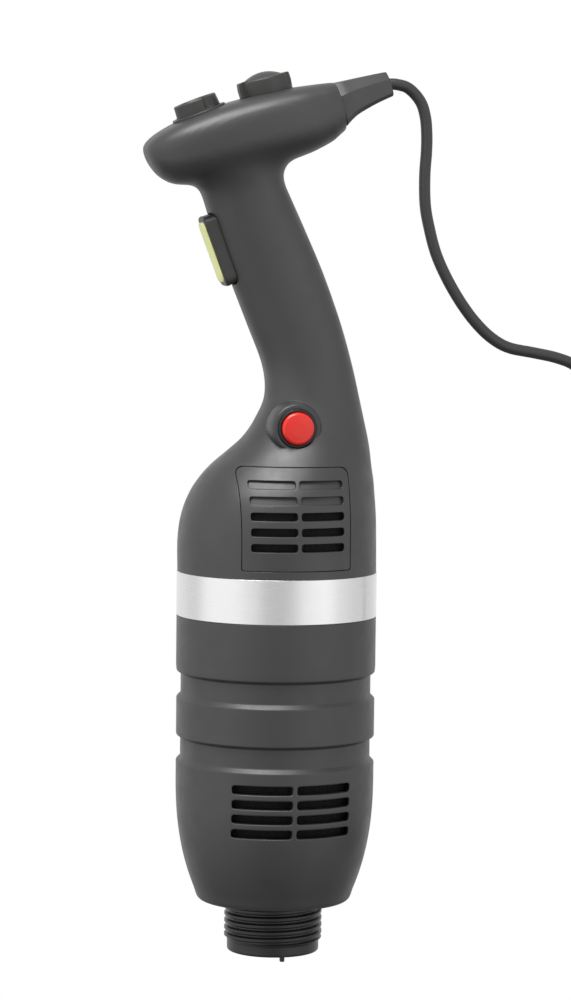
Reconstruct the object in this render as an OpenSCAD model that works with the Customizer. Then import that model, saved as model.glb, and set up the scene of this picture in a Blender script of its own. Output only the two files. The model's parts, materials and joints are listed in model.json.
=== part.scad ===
// Motor unit of a hand-held stick blender, standing upright with its tool coupling at the bottom.
// +Z runs up the motor axis, -X is the front (trigger side) and +X the rear (mains lead side).
// The origin is the centre of the threaded collar's lower end face.

/* [Motor barrel] */
// Outer diameter of the barrel just under the steel band
barrel_d = 100; // [99:0.5:101]
// Height of the barrel's flat bottom above the collar's end face
barrel_floor_z = 26; // [25.5:0.5:26]
// Height of the barrel's shoulder, where the steel band starts
band_z = 170; // [169.5:0.5:170.5]
// Height of the steel band
band_h = 22; // [21.5:0.5:22.5]
// Wall thickness of the barrel
barrel_wall = 3.2; // [3:0.1:3.4]

/* [Grip grooves] */
// Depth of the two grooves round the barrel
groove_depth = 2.1; // [1:0.1:2.2]
// Height of the lower groove's middle
groove_low_z = 103.8; // [103:0.1:104.5]
// Width of the lower groove
groove_low_w = 9.5; // [8:0.5:10]
// Height of the upper groove's middle
groove_high_z = 135.3; // [134.5:0.1:136]
// Width of the upper groove
groove_high_w = 12.5; // [10:0.5:13]

/* [Vents] */
// Half width of the outlet slots in the barrel
outlet_half_w = 30; // [28:0.5:31]
// Height of one outlet slot
outlet_slot_h = 4.4; // [3.6:0.2:4.6]
// Distance between outlet slots
outlet_pitch = 7.3; // [7.1:0.1:7.5]
// Half width of the inlet slots in the shoulder panels
inlet_half_w = 25; // [23:0.5:25.5]
// Height of one inlet slot
inlet_slot_h = 4; // [3.4:0.2:4.4]
// Distance between inlet slots
inlet_pitch = 7.6; // [7.4:0.1:7.8]
// Half width of a shoulder panel
panel_half_w = 28.5; // [28:0.5:29]
// Width of the bar that divides each slot in two
slot_bar = 2.2; // [1.6:0.2:2.6]

/* [Threaded collar] */
// Outer diameter of the collar's thread
thread_d = 49.2; // [48.6:0.1:49.4]
// Pitch of the thread
thread_pitch = 3.5; // [3:0.25:3.5]
// Radius of the plain socket that centres the tool
socket_r = 17.5; // [17:0.5:18]
// Length of the plain socket
socket_len = 14; // [12:0.5:15]

/* [Upper housing] */
// Wall thickness of the two housing shells
shell_wall = 2.8; // [2.6:0.1:3]
// Height of the head's reference point
head_z = 414; // [413.5:0.5:414.5]
// Tilt of the head, nose down
head_tilt = 16.6; // [16:0.2:17]

/* [Controls] */
// Diameter of the red lock button's cap
lock_d = 16; // [15:0.5:16]
// Travel of the lock button
lock_travel = 3; // [2:0.5:3]
// Length of the trigger along the handle
trigger_len = 36.5; // [34:0.5:37]
// Width of the trigger
trigger_w = 17.5; // [16:0.5:18]
// Travel of the trigger
trigger_travel = 4; // [3:0.5:4]
// Diameter of the push button on the head
push_d = 22.8; // [22:0.2:22.8]
// Travel of the push button
push_travel = 2.5; // [2:0.5:2.5]
// Diameter of the speed dial
dial_d = 27.2; // [26:0.2:28]
// Height of the speed dial's rim
dial_h = 7.7; // [7.2:0.1:8.2]

/* [Motor] */
// Outer radius of the stator core
stator_r = 43.8; // [43.6:0.1:43.9]
// Radius of the armature core
armature_r = 23.6; // [23:0.1:23.8]
// Radius of the fan
fan_r = 38; // [36:0.5:39]
// Number of fan blades
fan_blades = 9; // [7:1:11]
// Number of armature slots
armature_slots = 12; // [10:1:14]

/* [Mains lead] */
// Diameter of the mains lead
cord_d = 5.8; // [5.6:0.1:6]
// Sides of the lead's simple tube
cord_sides = 8; // [8:1:10]

/* [Hidden] */
$fn = 64;

plastic = [0.29, 0.29, 0.29];
dark_plastic = [0.2, 0.2, 0.2];
metal = [0.72, 0.72, 0.73];
steel = [0.5, 0.5, 0.52];
copper = [0.72, 0.42, 0.22];
brass = [0.78, 0.62, 0.3];
eps = 0.01;

barrel_r = barrel_d / 2;
housing_z = band_z + band_h;   // bottom of the upper housing
bowl_top_z = 90;               // where the barrel's lower curve becomes straight
bowl_drop = 11.3;              // how far the curve draws in at the bottom
bowl_power = 2.45;             // how late the curve draws in
floor_t = 5;                   // thickness of the barrel's floor
shield_z = 44;                 // seat of the lower bearing shield
bridge_z = 174;                // seat of the upper bearing bridge
core_z = 98;                   // bottom of the stator and armature cores
core_h = 48;                   // height of both cores
post_r = 41;                   // circle of the posts that carry the bridge
neck_top_z = 203;              // top of the barrel's neck inside the shells
neck_r = 46;                   // outer radius of that neck
outlet_low_z = 68.1;           // middle of the lowest outlet slots
inlet_low_z = 207.6;           // middle of the lowest inlet slots
end_turn_r = 34.4;             // outer radius of the field coils' end turns, inside the core's bosses
board_z = 196;                 // underside of the control board
brush_z = 165;                 // height of the brushes' middle

// The two ball bearings: bottom, shaft radius, inner ring, outer ring, outside, width and ball count
bearings = [[shield_z + 1.5, 6, 8.2, 11.6, 14, 8, 10], [bridge_z + 3, 4, 5.8, 9, 11, 7, 8]];

// Upper housing below the head: height, front, rear, half width and squareness of each section
body_sections = [
    [192, -49.8, 49.8, 49.8, 2], [208, -49.9, 49.6, 49.8, 2], [220, -48.2, 49.3, 49.2, 2],
    [230, -44.6, 48.6, 46.9, 2], [238, -39.7, 48, 43.2, 2], [245, -33.6, 47, 38.8, 2],
    [252, -25.3, 46.2, 34, 2.05], [259, -17.5, 45, 30, 2.1], [268, -11.4, 43, 26.2, 2.15],
    [280, -6.7, 40.3, 22.4, 2.2], [295, -8.2, 36.8, 19.8, 2.25], [315, -16, 31, 18.8, 2.3],
    [340, -26.1, 21.8, 18.5, 2.3], [362, -34.2, 12, 18.5, 2.3], [378, -39.4, 4.5, 18.7, 2.3],
    [385, -43.6, 1.4, 19.6, 2.3], [391, -49.6, 0.6, 21.4, 2.3], [396, -51, 3.4, 22.6, 2.3],
    [400, -50, 9, 22, 2.3], [404, -46, 16, 19, 2.3]];

// Head, in its own tilted frame: place, top, bottom, half width and squareness of each section
head_sections = [
    [-70.2, 6.4, 3.4, 3.5, 2], [-68.8, 9, -2.4, 10, 2], [-65.5, 11.2, -8.6, 15.6, 2.1],
    [-59, 13.6, -13.8, 20.6, 2.2], [-48, 15.9, -16.6, 24.6, 2.3], [-30, 17.7, -17.8, 27, 2.35],
    [-10, 17.8, -18, 27.4, 2.35], [8, 16.6, -17.5, 25.6, 2.35], [20, 15, -15.2, 22.2, 2.35],
    [24.5, 14.3, -13.5, 20.6, 2.35], [28.6, 13.6, -11.6, 18.8, 2.35]];

// Strain relief, in the head's frame
relief_sections = [
    [25.5, 11.4, -7.8, 14.4, 2.4], [28.7, 11.4, -7.8, 14.4, 2.4], [28.9, 12.9, -9.6, 16.2, 2.5],
    [38, 12.4, -7.3, 13.4, 2.5], [48, 11.8, -4.3, 9.8, 2.4], [57.8, 11.1, -2, 6.4, 2.3]];

// Places and directions of the controls
push_at = [-38.7, 17.7];       // in the head's frame
push_lean = 5;                 // extra lean of the push button
dial_at = [-3.2, 17.4];
dial_lean = -1.5;
trigger_at = [-34.7, 350.8];   // centre of the trigger's outer face, x and z
trigger_lean = 20.6;
lock_at = [3.2, 265];            // x and z
boss_y = 29;                   // distance of the lock button's flat boss from the middle plane
boss_r = 12.3;
lock_ring_r = 9.65;
push_bezel_r = 13.75;

// Housing screws on the far side: x, z, and where the head sits
screw_spots = [[-38, 212], [38, 212], [31, 285], [14, 328], [-55, 396.5], [21.5, 412]];
screw_seat_y = 9;
screw_shank_r = 1.7;
screw_head_r = 3.3;

// Mains lead: hand-picked route from the strain relief to the coil
relief_exit = [54, 0, 435.1];
cord_route = [
    relief_exit, [58.5, 0, 435.1], [64.8, 0, 433.2], [70.8, 0, 427], [73.5, 0, 419.5], [74.4, 0, 411],
    [74.4, 0, 402], [73.7, 0, 390], [74.1, 0, 376], [76.1, 0, 365], [80.1, 0, 351], [86.3, 0, 338],
    [94, 0, 325.7], [101.8, 0, 316], [110, 0, 308.6], [119, 0, 303.9], [132, 0, 301.4],
    [144, 0, 298.9], [153.5, 0, 295.2], [160.7, 0.5, 288.2], [165.2, 1.5, 277], [167.3, 3, 258],
    [168.5, 5.5, 228], [169.4, 9.5, 190], [170.3, 15, 147], [171, 22, 105], [171.3, 29, 72],
    [171.4, 34.5, 46], [171.3, 35.5, 28], [171.2, 30, 13], [171.2, 19, 4.5], [171.2, 9, 2.2],
    [171.2, 0, 1.7]];
coil_x = 210;                  // centre of the coil
coil_mid_r = 33;               // mean radius of its turns
coil_lift = 0.8;               // the tie passes under the coil
coil_rise = 0.87 * cord_d;     // height from one layer of turns to the next
rest_z = -2;                   // lowest point of the motor unit, the tips of the index nibs
plug_at = [175, -33, 11];      // rear end of the plug
plug_route = [[177, -2, 11.8], [177, -8, 12.4], [176.8, -14, 12.6], [176.2, -23, 11.8], plug_at];

// ---- functions ----

// One point of a smooth curve through rows a, b, c, d, between b and c
function curve_point(a, b, c, d, t) =
    0.5 * (2 * b + (c - a) * t + (2 * a - 5 * b + 4 * c - d) * t * t + (3 * b - a - 3 * c + d) * t * t * t);

// A finer list of rows along a smooth curve through rows p, with n steps between two rows
function smooth(p, n) = [
    for (i = [0 : len(p) - 2], k = [0 : n - 1])
        curve_point(p[max(i - 1, 0)], p[i], p[i + 1], p[min(i + 2, len(p) - 1)], k / n),
    p[len(p) - 1]];

// Corner of a superellipse with squareness q, at angle a
function super(a, q) = [sign(cos(a)) * pow(abs(cos(a)), 2 / q), sign(sin(a)) * pow(abs(sin(a)), 2 / q)];

// Horizontal ring of the upper housing, drawn in by w
function body_ring(s, w, n) = [
    for (i = [0 : n - 1])
        let (c = super(i * 360 / n, s[4]))
        [(s[1] + s[2]) / 2 + (s[2] - s[1] - 2 * w) / 2 * c[0], (s[3] - w) * c[1], s[0]]];

// Upright ring of the head or the strain relief, drawn in by w
function head_ring(s, w, n) = [
    for (i = [0 : n - 1])
        let (c = super(i * 360 / n, s[4]))
        [s[0], max(s[3] - w, 0.5) * c[0], (s[1] + s[2]) / 2 + max((s[1] - s[2]) / 2 - w, 0.5) * c[1]]];

function unit(v) = v / norm(v);

// Direction of a path at point i
function heading(p, i) = unit(p[min(i + 1, len(p) - 1)] - p[max(i - 1, 0)]);

// Ring of radius r round point i of a path, level with an axis that the path never follows
function tube_ring(p, i, r, n, side) =
    let (d = heading(p, i), u = unit(cross(side, d)), v = cross(d, u))
    [for (k = [0 : n - 1]) p[i] + r * (cos(k * 360 / n) * u + sin(k * 360 / n) * v)];

// Start and end along X of the left or right slot of a pair that reaches half_w each way
function slot_span(side, half_w) = side < 0 ? [-half_w, -slot_bar / 2] : [slot_bar / 2, half_w];

// Radius of the barrel's outside at height z
function bowl_r(z) =
    barrel_r - 0.25 - bowl_drop * pow(max(bowl_top_z - z, 0) / (bowl_top_z - 28), bowl_power);

// ---- shared shapes ----

// Closed solid through equal rings
module loft(rings) {
    n = len(rings[0]);
    m = len(rings);
    polyhedron(
        points = [for (r = rings, p = r) p],
        faces = concat(
            [[for (k = [0 : n - 1]) k]],
            [for (i = [0 : m - 2], k = [0 : n - 1])
                [i * n + k, (i + 1) * n + k, (i + 1) * n + (k + 1) % n, i * n + (k + 1) % n]],
            [[for (k = [n - 1 : -1 : 0]) (m - 1) * n + k]]));
}

module tube(path, r, sides, side) {
    loft([for (i = [0 : len(path) - 1]) tube_ring(path, i, r, sides, side)]);
}

// Helical compression spring along +Z from the origin
module spring(r, wire_r, length, turns) {
    steps = turns * 9;
    path = [for (i = [0 : steps])
        [r * cos(i * 40), r * sin(i * 40), wire_r + (length - 2 * wire_r) * i / steps]];
    tube(path, wire_r, 5, [0, 0, 1]);
}

module ring(outer, inner, h) {
    difference() {
        cylinder(r = outer, h = h);
        translate([0, 0, -eps]) cylinder(r = inner, h = h + 2 * eps);
    }
}

// Rounded block along Z with exact corners
module rounded_block(l, w, h, r) {
    translate([-l / 2 + r, -w / 2, 0]) cube([l - 2 * r, w, h]);
    translate([-l / 2, -w / 2 + r, 0]) cube([l, w - 2 * r, h]);
    for (x = [-1, 1], y = [-1, 1])
        translate([x * (l / 2 - r), y * (w / 2 - r), 0]) cylinder(r = r, h = h);
}

// Slot with round ends through the barrel's wall, along Y
module barrel_slot(span, h, y0, y1) {
    r = h / 2;
    translate([span[0] + r, y0, -r]) cube([span[1] - span[0] - h, y1 - y0, h]);
    for (x = [span[0] + r, span[1] - r])
        translate([x, y1, 0]) rotate([90, 0, 0]) cylinder(r = r, h = y1 - y0);
}

// Slot with round ends through a faceted shell, along Y
module shell_slot(span, h, y0, y1) {
    r = h / 2;
    hull() for (x = [span[0] + r, span[1] - r])
        translate([x, y1, 0]) rotate([90, 0, 0]) cylinder(r = r, h = y1 - y0, $fn = 16);
}

module in_head() {
    translate([0, 0, head_z]) rotate([0, -head_tilt, 0]) children();
}

module at_push() {
    in_head() translate([push_at[0], 0, push_at[1]]) rotate([0, -push_lean, 0]) children();
}

module at_dial() {
    in_head() translate([dial_at[0], 0, dial_at[1]]) rotate([0, -dial_lean, 0]) children();
}

// +Z points out of the handle and +X up along it
module at_trigger() {
    translate([trigger_at[0], 0, trigger_at[1]]) rotate([0, -90 - trigger_lean, 0]) children();
}

// +Z points out of the near side
module at_lock() {
    translate([lock_at[0], -boss_y, lock_at[1]]) rotate([90, 0, 0]) children();
}

// Pan-head screw pointing down, its head's seat at the origin
module screw(shank_r, shank_l, head_r, head_h) {
    translate([0, 0, -shank_l]) cylinder(r = shank_r, h = shank_l);
    difference() {
        cylinder(r = head_r, h = head_h);
        for (a = [0, 90])
            rotate([0, 0, a]) translate([-head_r * 0.55, -0.45, head_h * 0.45])
                cube([head_r * 1.1, 0.9, head_h]);
    }
}

// ---- upper housing ----

module housing_outside() {
    loft([for (s = smooth(body_sections, 2)) body_ring(s, 0, 36)]);
    in_head() loft([for (s = smooth(head_sections, 2)) head_ring(s, 0, 32)]);
    at_lock() translate([0, 0, -11]) cylinder(r = boss_r, h = 11, $fn = 40);
}

module housing_inside() {
    inner = [for (s = smooth(body_sections, 1)) if (s[0] < 402) s];
    loft([for (s = inner) body_ring(s == inner[0] ? s - [1, 0, 0, 0, 0] : s, shell_wall, 24)]);
    in_head() loft([for (s = head_sections) if (s[0] > -69 && s[0] < 28) head_ring(s, shell_wall, 20)]);
}

// Everything that is cut out of both shells
module housing_cuts() {
    at_lock() {
        cylinder(r = boss_r, h = 12, $fn = 40);
        translate([0, 0, -14]) cylinder(r = lock_ring_r + 0.15, h = 15, $fn = 40);
    }
    at_push() {
        translate([0, 0, -12]) cylinder(r = 12.8, h = 14, $fn = 36);
        translate([0, 0, -1.6]) cylinder(r = push_bezel_r + 0.15, h = 5, $fn = 36);
    }
    at_dial() {
        translate([0, 0, -8]) cylinder(r = 4.7, h = 9, $fn = 24);
        translate([0, 0, -0.4]) cylinder(r = dial_d / 2 + 0.4, h = 6, $fn = 36);
    }
    at_trigger() translate([0, 0, -18]) rounded_block(trigger_len + 0.8, trigger_w + 0.8, 21, 5.4, $fn = 24);
    in_head() loft([for (s = [24, 28.8, 32]) head_ring([s, 11.6, -8, 14.6, 2.4], 0, 20)]);
    for (y = [-1, 1]) panel_prism(y, 0);
}

// Block with the outline of a shoulder panel, w inside the opening, on side y
module panel_prism(y, w) {
    top_r = 5;
    half = panel_half_w - w;
    low = 196 + w;
    high = 246.5 - w;
    hull() for (x = [-1, 1]) {
        translate([x * (half - top_r), y * 41, high - top_r])
            rotate([90, 0, 0]) cylinder(r = top_r, h = 24, center = true, $fn = 24);
        translate([x * (half - 1.5), y * 41, low + 1.5])
            rotate([90, 0, 0]) cylinder(r = 1.5, h = 24, center = true, $fn = 16);
    }
}

// Open slots of the shoulder panel, in its three lower rows
module inlet_slots(y) {
    for (row = [0 : 2], side = [-1, 1]) {
        reach = y > 0 ? [25, 60] : [-60, -25];
        translate([0, 0, inlet_low_z + row * inlet_pitch])
            shell_slot(slot_span(side, inlet_half_w), inlet_slot_h, reach[0], reach[1]);
    }
}

module shell_half(y) {
    difference() {
        intersection() {
            union() {
                difference() {
                    housing_outside();
                    housing_inside();
                }
                screw_posts();
                neck_rib();
            }
            translate([-150, y > 0 ? 0 : -150, 150]) cube([300, 150, 350]);
            housing_outside();
        }
        housing_cuts();
        screw_holes();
    }
}

// Small guide blocks inside each shell that the far-side screws pass through
module screw_posts() {
    for (s = screw_spots)
        translate([s[0], 60, s[1]]) rotate([90, 0, 0]) cylinder(r = 4.8, h = 90, $fn = 16);
}

// Each recess widens outwards, as the mould's draft leaves it
module screw_holes() {
    for (s = screw_spots) translate([s[0], 0, s[1]]) {
        hull() for (end = [[screw_seat_y, screw_head_r + 0.3], [60, screw_head_r + 1]])
            translate([0, end[0], 0]) rotate([-90, 0, 0]) cylinder(r = end[1], h = eps, $fn = 18);
        translate([0, 30, 0]) rotate([90, 0, 0]) cylinder(r = screw_shank_r + 0.15, h = 40, $fn = 14);
    }
}

// Rib that hooks into the groove of the barrel's neck
module neck_rib() {
    translate([0, 0, 196.4]) difference() {
        cylinder(r = 48, h = 2.2, $fn = 48);
        translate([0, 0, -1]) cylinder(r = neck_r - 0.7, h = 5, $fn = 48);
        translate([-33, -60, -1]) cube([66, 120, 5]);
    }
}

module shell_near() color(plastic) shell_half(-1);
module shell_far() color(plastic) shell_half(1);

module inlet_panel(y) {
    difference() {
        intersection() {
            difference() {
                loft([for (s = smooth(body_sections, 2)) if (s[0] < 260) body_ring(s, 0.15, 44)]);
                loft([for (s = smooth(body_sections, 1)) if (s[0] < 270) body_ring(s, shell_wall + 0.1, 36)]);
            }
            panel_prism(y, 0.35);
        }
        inlet_slots(y);
        blind_slots(y);
    }
}

// Recesses of the two blind rows, in short steps that follow the curve of the shoulder
module blind_slots(y) {
    for (row = [3, 4], side = [-1, 1], k = [0 : 3]) {
        z = inlet_low_z + row * inlet_pitch;
        step = (inlet_half_w - slot_bar / 2) / 4;
        x0 = slot_span(side, inlet_half_w)[0] + k * step;
        mid = x0 + step / 2;
        r = row == 3 ? 46.9 : 43.2;
        depth = sqrt(r * r - mid * mid) - 1;
        translate([0, 0, z]) hull() for (x = [x0 + 0.4, x0 + step - 0.4])
            translate([x, y * (depth + 10), 0]) rotate([90, 0, 0])
                cylinder(r = inlet_slot_h / 2, h = 20, center = true, $fn = 12);
    }
}

module inlet_panel_near() color(plastic) inlet_panel(-1);
module inlet_panel_far() color(plastic) inlet_panel(1);

module shell_screws() color(steel)
    for (s = screw_spots)
        translate([s[0], screw_seat_y, s[1]]) rotate([-90, 0, 0]) screw(screw_shank_r, 17, screw_head_r, 2.4);

// ---- barrel and coupling ----

// Outline of one groove's edge, from the full radius r at z down to the groove's floor
function groove(z, w, r) = [
    [r, z - w / 2], [r - groove_depth, z - w / 2 + 1.4], [r - groove_depth, z + w / 2 - 1.4], [r, z + w / 2]];

module barrel() color(plastic) {
    low_r = barrel_r - 0.25;
    edge_r = 4;
    bottom_r = bowl_r(barrel_floor_z + edge_r);
    outside = concat(
        [for (a = [0 : 18 : 72])
            [bottom_r - edge_r + edge_r * sin(a), barrel_floor_z + edge_r - edge_r * cos(a)]],
        [for (z = [barrel_floor_z + edge_r : 5 : bowl_top_z]) [bowl_r(z), z]],
        groove(groove_low_z, groove_low_w, low_r),
        groove(groove_high_z, groove_high_w, low_r),
        [[barrel_r, groove_high_z + groove_high_w / 2 + 0.5], [barrel_r, band_z], [barrel_r - 1.2, band_z],
         [barrel_r - 1.2, housing_z - 0.3], [neck_r, housing_z - 0.3], [neck_r, 196], [neck_r - 1, 196],
         [neck_r - 1, 199], [neck_r, 199], [neck_r, neck_top_z]]);
    inside = concat(
        [[44, neck_top_z], [44, 186], [45.2, 186], [45.2, bridge_z], [44, bridge_z], [44, 96]],
        [for (z = [89 : -5 : shield_z]) [bowl_r(z) - barrel_wall, z]],
        [[bowl_r(shield_z) - barrel_wall, shield_z], [34.5, shield_z],
         [34.5, barrel_floor_z + floor_t], [thread_d / 2 + 0.25, barrel_floor_z + floor_t],
         [thread_d / 2 + 0.25, barrel_floor_z]]);
    difference() {
        union() {
            rotate_extrude() polygon(concat(outside, inside));
            for (a = [45 : 90 : 315]) rotate([0, 0, a]) translate([post_r, 0, 84]) {
                cylinder(r = 4, h = bridge_z - 84.4);
                cylinder(r = 5.2, h = core_z - 84);
            }
            for (a = [0, 180]) rotate([0, 0, a]) translate([39.6, 0, 84]) cylinder(r = 4.8, h = core_z - 84);
        }
        for (row = [0 : 3], side = [-1, 1], y = [-60, 33.5])
            translate([0, 0, outlet_low_z + row * outlet_pitch])
                barrel_slot(slot_span(side, outlet_half_w), outlet_slot_h, y, y + 26.5);
        for (a = [45 : 90 : 315]) rotate([0, 0, a]) {
            translate([post_r, 0, 160]) cylinder(r = 1.5, h = 20);
            translate([29.5, 0, barrel_floor_z + 1.5]) cylinder(r = 2, h = 8);
        }
        for (a = [0, 180]) rotate([0, 0, a]) translate([39.6, 0, 86]) cylinder(r = 1.5, h = 14);
        for (a = [30, 150, 270]) rotate([0, 0, a]) translate([37.2, 0, 35]) cylinder(r = 1.5, h = 12);
    }
}

module steel_band() color(metal)
    translate([0, 0, band_z]) ring(barrel_r + 0.1, barrel_r - 1.1, band_h);

// Screw-on collar for the tool; plain rings stand in for the helical thread
module threaded_collar() color(dark_plastic) {
    crest = thread_d / 2;
    root = crest - 1.15;
    turns = floor((barrel_floor_z - 5) / thread_pitch);
    thread = [for (k = [0 : turns - 1], p = [[root, 0], [crest, 0.9], [crest, 1.7], [root, 2.6]])
        [p[0], 4.5 + k * thread_pitch + p[1]]];
    difference() {
        rotate_extrude() polygon(concat(
            [[socket_r, 0], [root - 1.4, 0], [root, 1.4]], thread,
            [[crest, barrel_floor_z - 0.3], [crest, barrel_floor_z + floor_t],
             [34, barrel_floor_z + floor_t], [34, 35], [12, 35], [12, 29], [8, 29], [8, 24.5],
             [socket_r + 1.5, 24.5], [socket_r + 1.5, socket_len], [socket_r, socket_len]]));
        for (a = [45 : 90 : 315]) rotate([0, 0, a])
            translate([29.5, 0, barrel_floor_z + 1]) cylinder(r = 2.2, h = 10);
    }
    for (y = [-1, 1]) translate([-1.15, y * 22 - 1, rest_z]) cube([2.3, 2, 3]);
}

module collar_screws() color(steel)
    for (a = [45 : 90 : 315]) rotate([0, 0, a]) translate([29.5, 0, 35]) screw(2, 7, 3.6, 2.6);

module shaft_seal() color([0.12, 0.12, 0.12])
    translate([0, 0, 29]) ring(12, 6.05, 5);

// ---- lead entry ----

module strain_relief() color(plastic)
    in_head() loft([for (s = relief_sections) head_ring(s, 0, 24)]);

module in_lead_clamp() {
    in_head() translate([21, 0, 0]) children();
}

module cord_clamp() color(dark_plastic) in_lead_clamp() {
    difference() {
        translate([-3, -9, -3]) cube([6, 18, 8.5]);
        translate([-4, 0, 1]) rotate([0, 90, 0]) cylinder(r = cord_d / 2, h = 8);
    }
}

module terminal_block() color([0.85, 0.85, 0.82]) in_head() translate([5.5, -8, -9]) difference() {
    cube([9, 16, 12]);
    for (y = [4, 12]) translate([4.5, y, 8]) cylinder(r = 1.8, h = 5);
}

module inner_lead() color([0.1, 0.1, 0.1])
    in_head() translate([14.5, 0, 1]) rotate([0, 90, 0]) cylinder(r = cord_d / 2, h = 11);

// ---- trigger ----

module trigger_key() color(dark_plastic) at_trigger() difference() {
    union() {
        translate([0, 0, -8]) rounded_block(trigger_len, trigger_w, 8, 5);
        translate([-trigger_len / 2 - 1.6, -5, -10]) cube([trigger_len + 3.2, 10, 1.6]);
        translate([0, 0, -10]) rounded_block(trigger_len - 2, trigger_w - 2, 2.5, 4);
        for (x = [-11, 11]) translate([x, 0, -19]) cylinder(r = 2.5, h = 10);
        translate([0, 0, -16]) cylinder(r = 1.5, h = 10);
    }
    translate([0, 0, -1.8]) rounded_block(trigger_len - 5, trigger_w - 4, 3, 3.6);
}

module trigger_insert() color([0.86, 0.92, 0.45]) at_trigger()
    translate([0, 0, -1.8]) rounded_block(trigger_len - 5.2, trigger_w - 4.2, 2.1, 3.5);

module trigger_guide() color(dark_plastic) at_trigger()
    translate([0, 0, -13.5 - trigger_travel]) difference() {
        rounded_block(32, 23, 3, 3);
        for (x = [-11, 11]) translate([x, 0, -eps]) cylinder(r = 2.55, h = 4);
        translate([0, 0, -eps]) cylinder(r = 2, h = 4);
    }

module trigger_spring() color(steel) at_trigger()
    translate([0, 0, -10.5 - trigger_travel]) spring(3.4, 0.4, trigger_travel + 0.5, 3);

module trigger_switch() color([0.1, 0.1, 0.1]) at_trigger() {
    translate([-8, -5, -27 - trigger_travel]) cube([16, 10, 10.4]);
    for (x = [-5, 0, 5]) translate([x - 0.4, -2, -30 - trigger_travel]) cube([0.8, 4, 3]);
}

// ---- red lock button ----

module lock_button() color([0.91, 0.16, 0.1]) at_lock() {
    r = lock_d / 2;
    difference() {
        union() {
            translate([0, 0, -3]) cylinder(r = r, h = 5.6);
            translate([0, 0, 2.6]) cylinder(r1 = r, r2 = r - 1.2, h = 1);
        }
        translate([0, 0, -4]) cylinder(r = r - 1.3, h = 5.2);
    }
    translate([0, 0, -13]) cylinder(r = 2.5, h = 15);
    translate([0, 0, -10.5]) cylinder(r = 3.6, h = 1);
}

module lock_ring() color([0.08, 0.08, 0.08]) at_lock() {
    gap_r = lock_d / 2 + 0.15;
    ring_h = 9;
    translate([0, 0, -8]) ring(lock_ring_r, gap_r, ring_h);
    translate([0, 0, -8]) ring(gap_r, 2.55, 1.5);
}

module lock_spring() color(steel) at_lock() translate([0, 0, -6.5]) spring(4.4, 0.5, 7.6, 4);

module lock_switch() color([0.1, 0.1, 0.1]) at_lock()
    translate([-6, -4, -23 - lock_travel]) cube([12, 8, 9.5]);

// ---- push button on the head ----

// Finger recesses cut round a knob of radius r
module recesses(r, h, count, first) {
    for (k = [0 : count - 1]) rotate([0, 0, first + k * 360 / count])
        translate([r + 3, 0, -1]) cylinder(r = 4.2, h = h + 2);
}

module push_button() color(dark_plastic) at_push() {
    r = push_d / 2;
    difference() {
        union() {
            translate([0, 0, -3]) cylinder(r = r, h = 8.4);
            translate([0, 0, 5.4]) cylinder(r1 = r, r2 = r - 0.8, h = 0.8);
        }
        translate([0, 0, -4]) cylinder(r = r - 2, h = 8);
        translate([0, 0, 5.2]) cylinder(r = r - 3.2, h = 2);
        translate([0, 0, 0.8]) recesses(r, 6, 3, -70);
    }
    translate([0, 0, -13]) cylinder(r = 2.5, h = 18);
    translate([0, 0, -10.5]) cylinder(r = 3.6, h = 1);
}

module push_bezel() color(dark_plastic) at_push() {
    gap_r = push_d / 2 + 0.2;
    translate([0, 0, -1.5]) ring(push_bezel_r, gap_r, 1.5);
    translate([0, 0, -9]) ring(12.6, gap_r, 7.5);
    translate([0, 0, -9]) ring(gap_r, 2.55, 1.5);
}

module push_spring() color(steel) at_push() translate([0, 0, -7.5]) spring(5.5, 0.5, 11.4, 5);

module push_switch() color([0.1, 0.1, 0.1]) at_push()
    translate([-6, -4, -22.5 - push_travel]) cube([12, 8, 9]);

// ---- speed dial ----

module speed_dial() color(dark_plastic) at_dial() {
    r = dial_d / 2;
    difference() {
        union() {
            translate([0, 0, 0.4]) cylinder(r = r, h = dial_h - 1.2);
            translate([0, 0, dial_h - 0.8]) cylinder(r1 = r, r2 = r - 0.8, h = 0.8);
            intersection() {
                translate([0, 0, dial_h - 13.6]) sphere(r = 16.4);
                translate([0, 0, dial_h - 1]) cylinder(r = 9.6, h = 6);
            }
        }
        difference() {
            cylinder(r = r - 2, h = 5.4);
            translate([0, 0, 3]) cylinder(r = 5, h = 3);
        }
        cylinder(r = 3, h = 7);
        translate([0, 0, 1.4]) recesses(r, dial_h, 3, -35);
    }
}

module dial_shaft() color(metal) at_dial() translate([0, 0, -4]) cylinder(r = 3, h = 11);

module dial_potentiometer() color([0.25, 0.3, 0.28]) at_dial() {
    difference() {
        union() {
            translate([0, 0, -13]) cylinder(r = 8.5, h = 8);
            translate([0, 0, -5]) cylinder(r = 4.5, h = 7.3);
        }
        translate([0, 0, -4.5]) cylinder(r = 3.05, h = 8);
    }
    for (x = [-4, 0, 4]) translate([x - 0.6, -12.5, -12]) cube([1.2, 5, 0.8]);
}

module dial_nut() color(metal) at_dial() translate([0, 0, 0.1]) difference() {
    cylinder(r = 6.5, h = 2.2, $fn = 6);
    translate([0, 0, -1]) cylinder(r = 4.5, h = 4);
}

// ---- electronics ----

module spacer_places() {
    for (a = [45 : 90 : 315]) rotate([0, 0, a]) translate([30, 0, 0]) children();
}

module control_board() color([0.1, 0.35, 0.2]) translate([0, 0, board_z]) difference() {
    translate([-30, -26, 0]) cube([60, 52, 1.6]);
    spacer_places() translate([0, 0, -1]) cylinder(r = 1.7, h = 4);
    translate([0, 0, -1]) cylinder(r = 7, h = 4);
}

module board_spacers() color(brass) spacer_places() {
    translate([0, 0, bridge_z + 4]) cylinder(r = 2.8, h = board_z - bridge_z - 4);
    translate([0, 0, board_z]) cylinder(r = 1.6, h = 1.6);
    translate([0, 0, board_z + 1.6]) cylinder(r = 3, h = 1.8);
}

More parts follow.
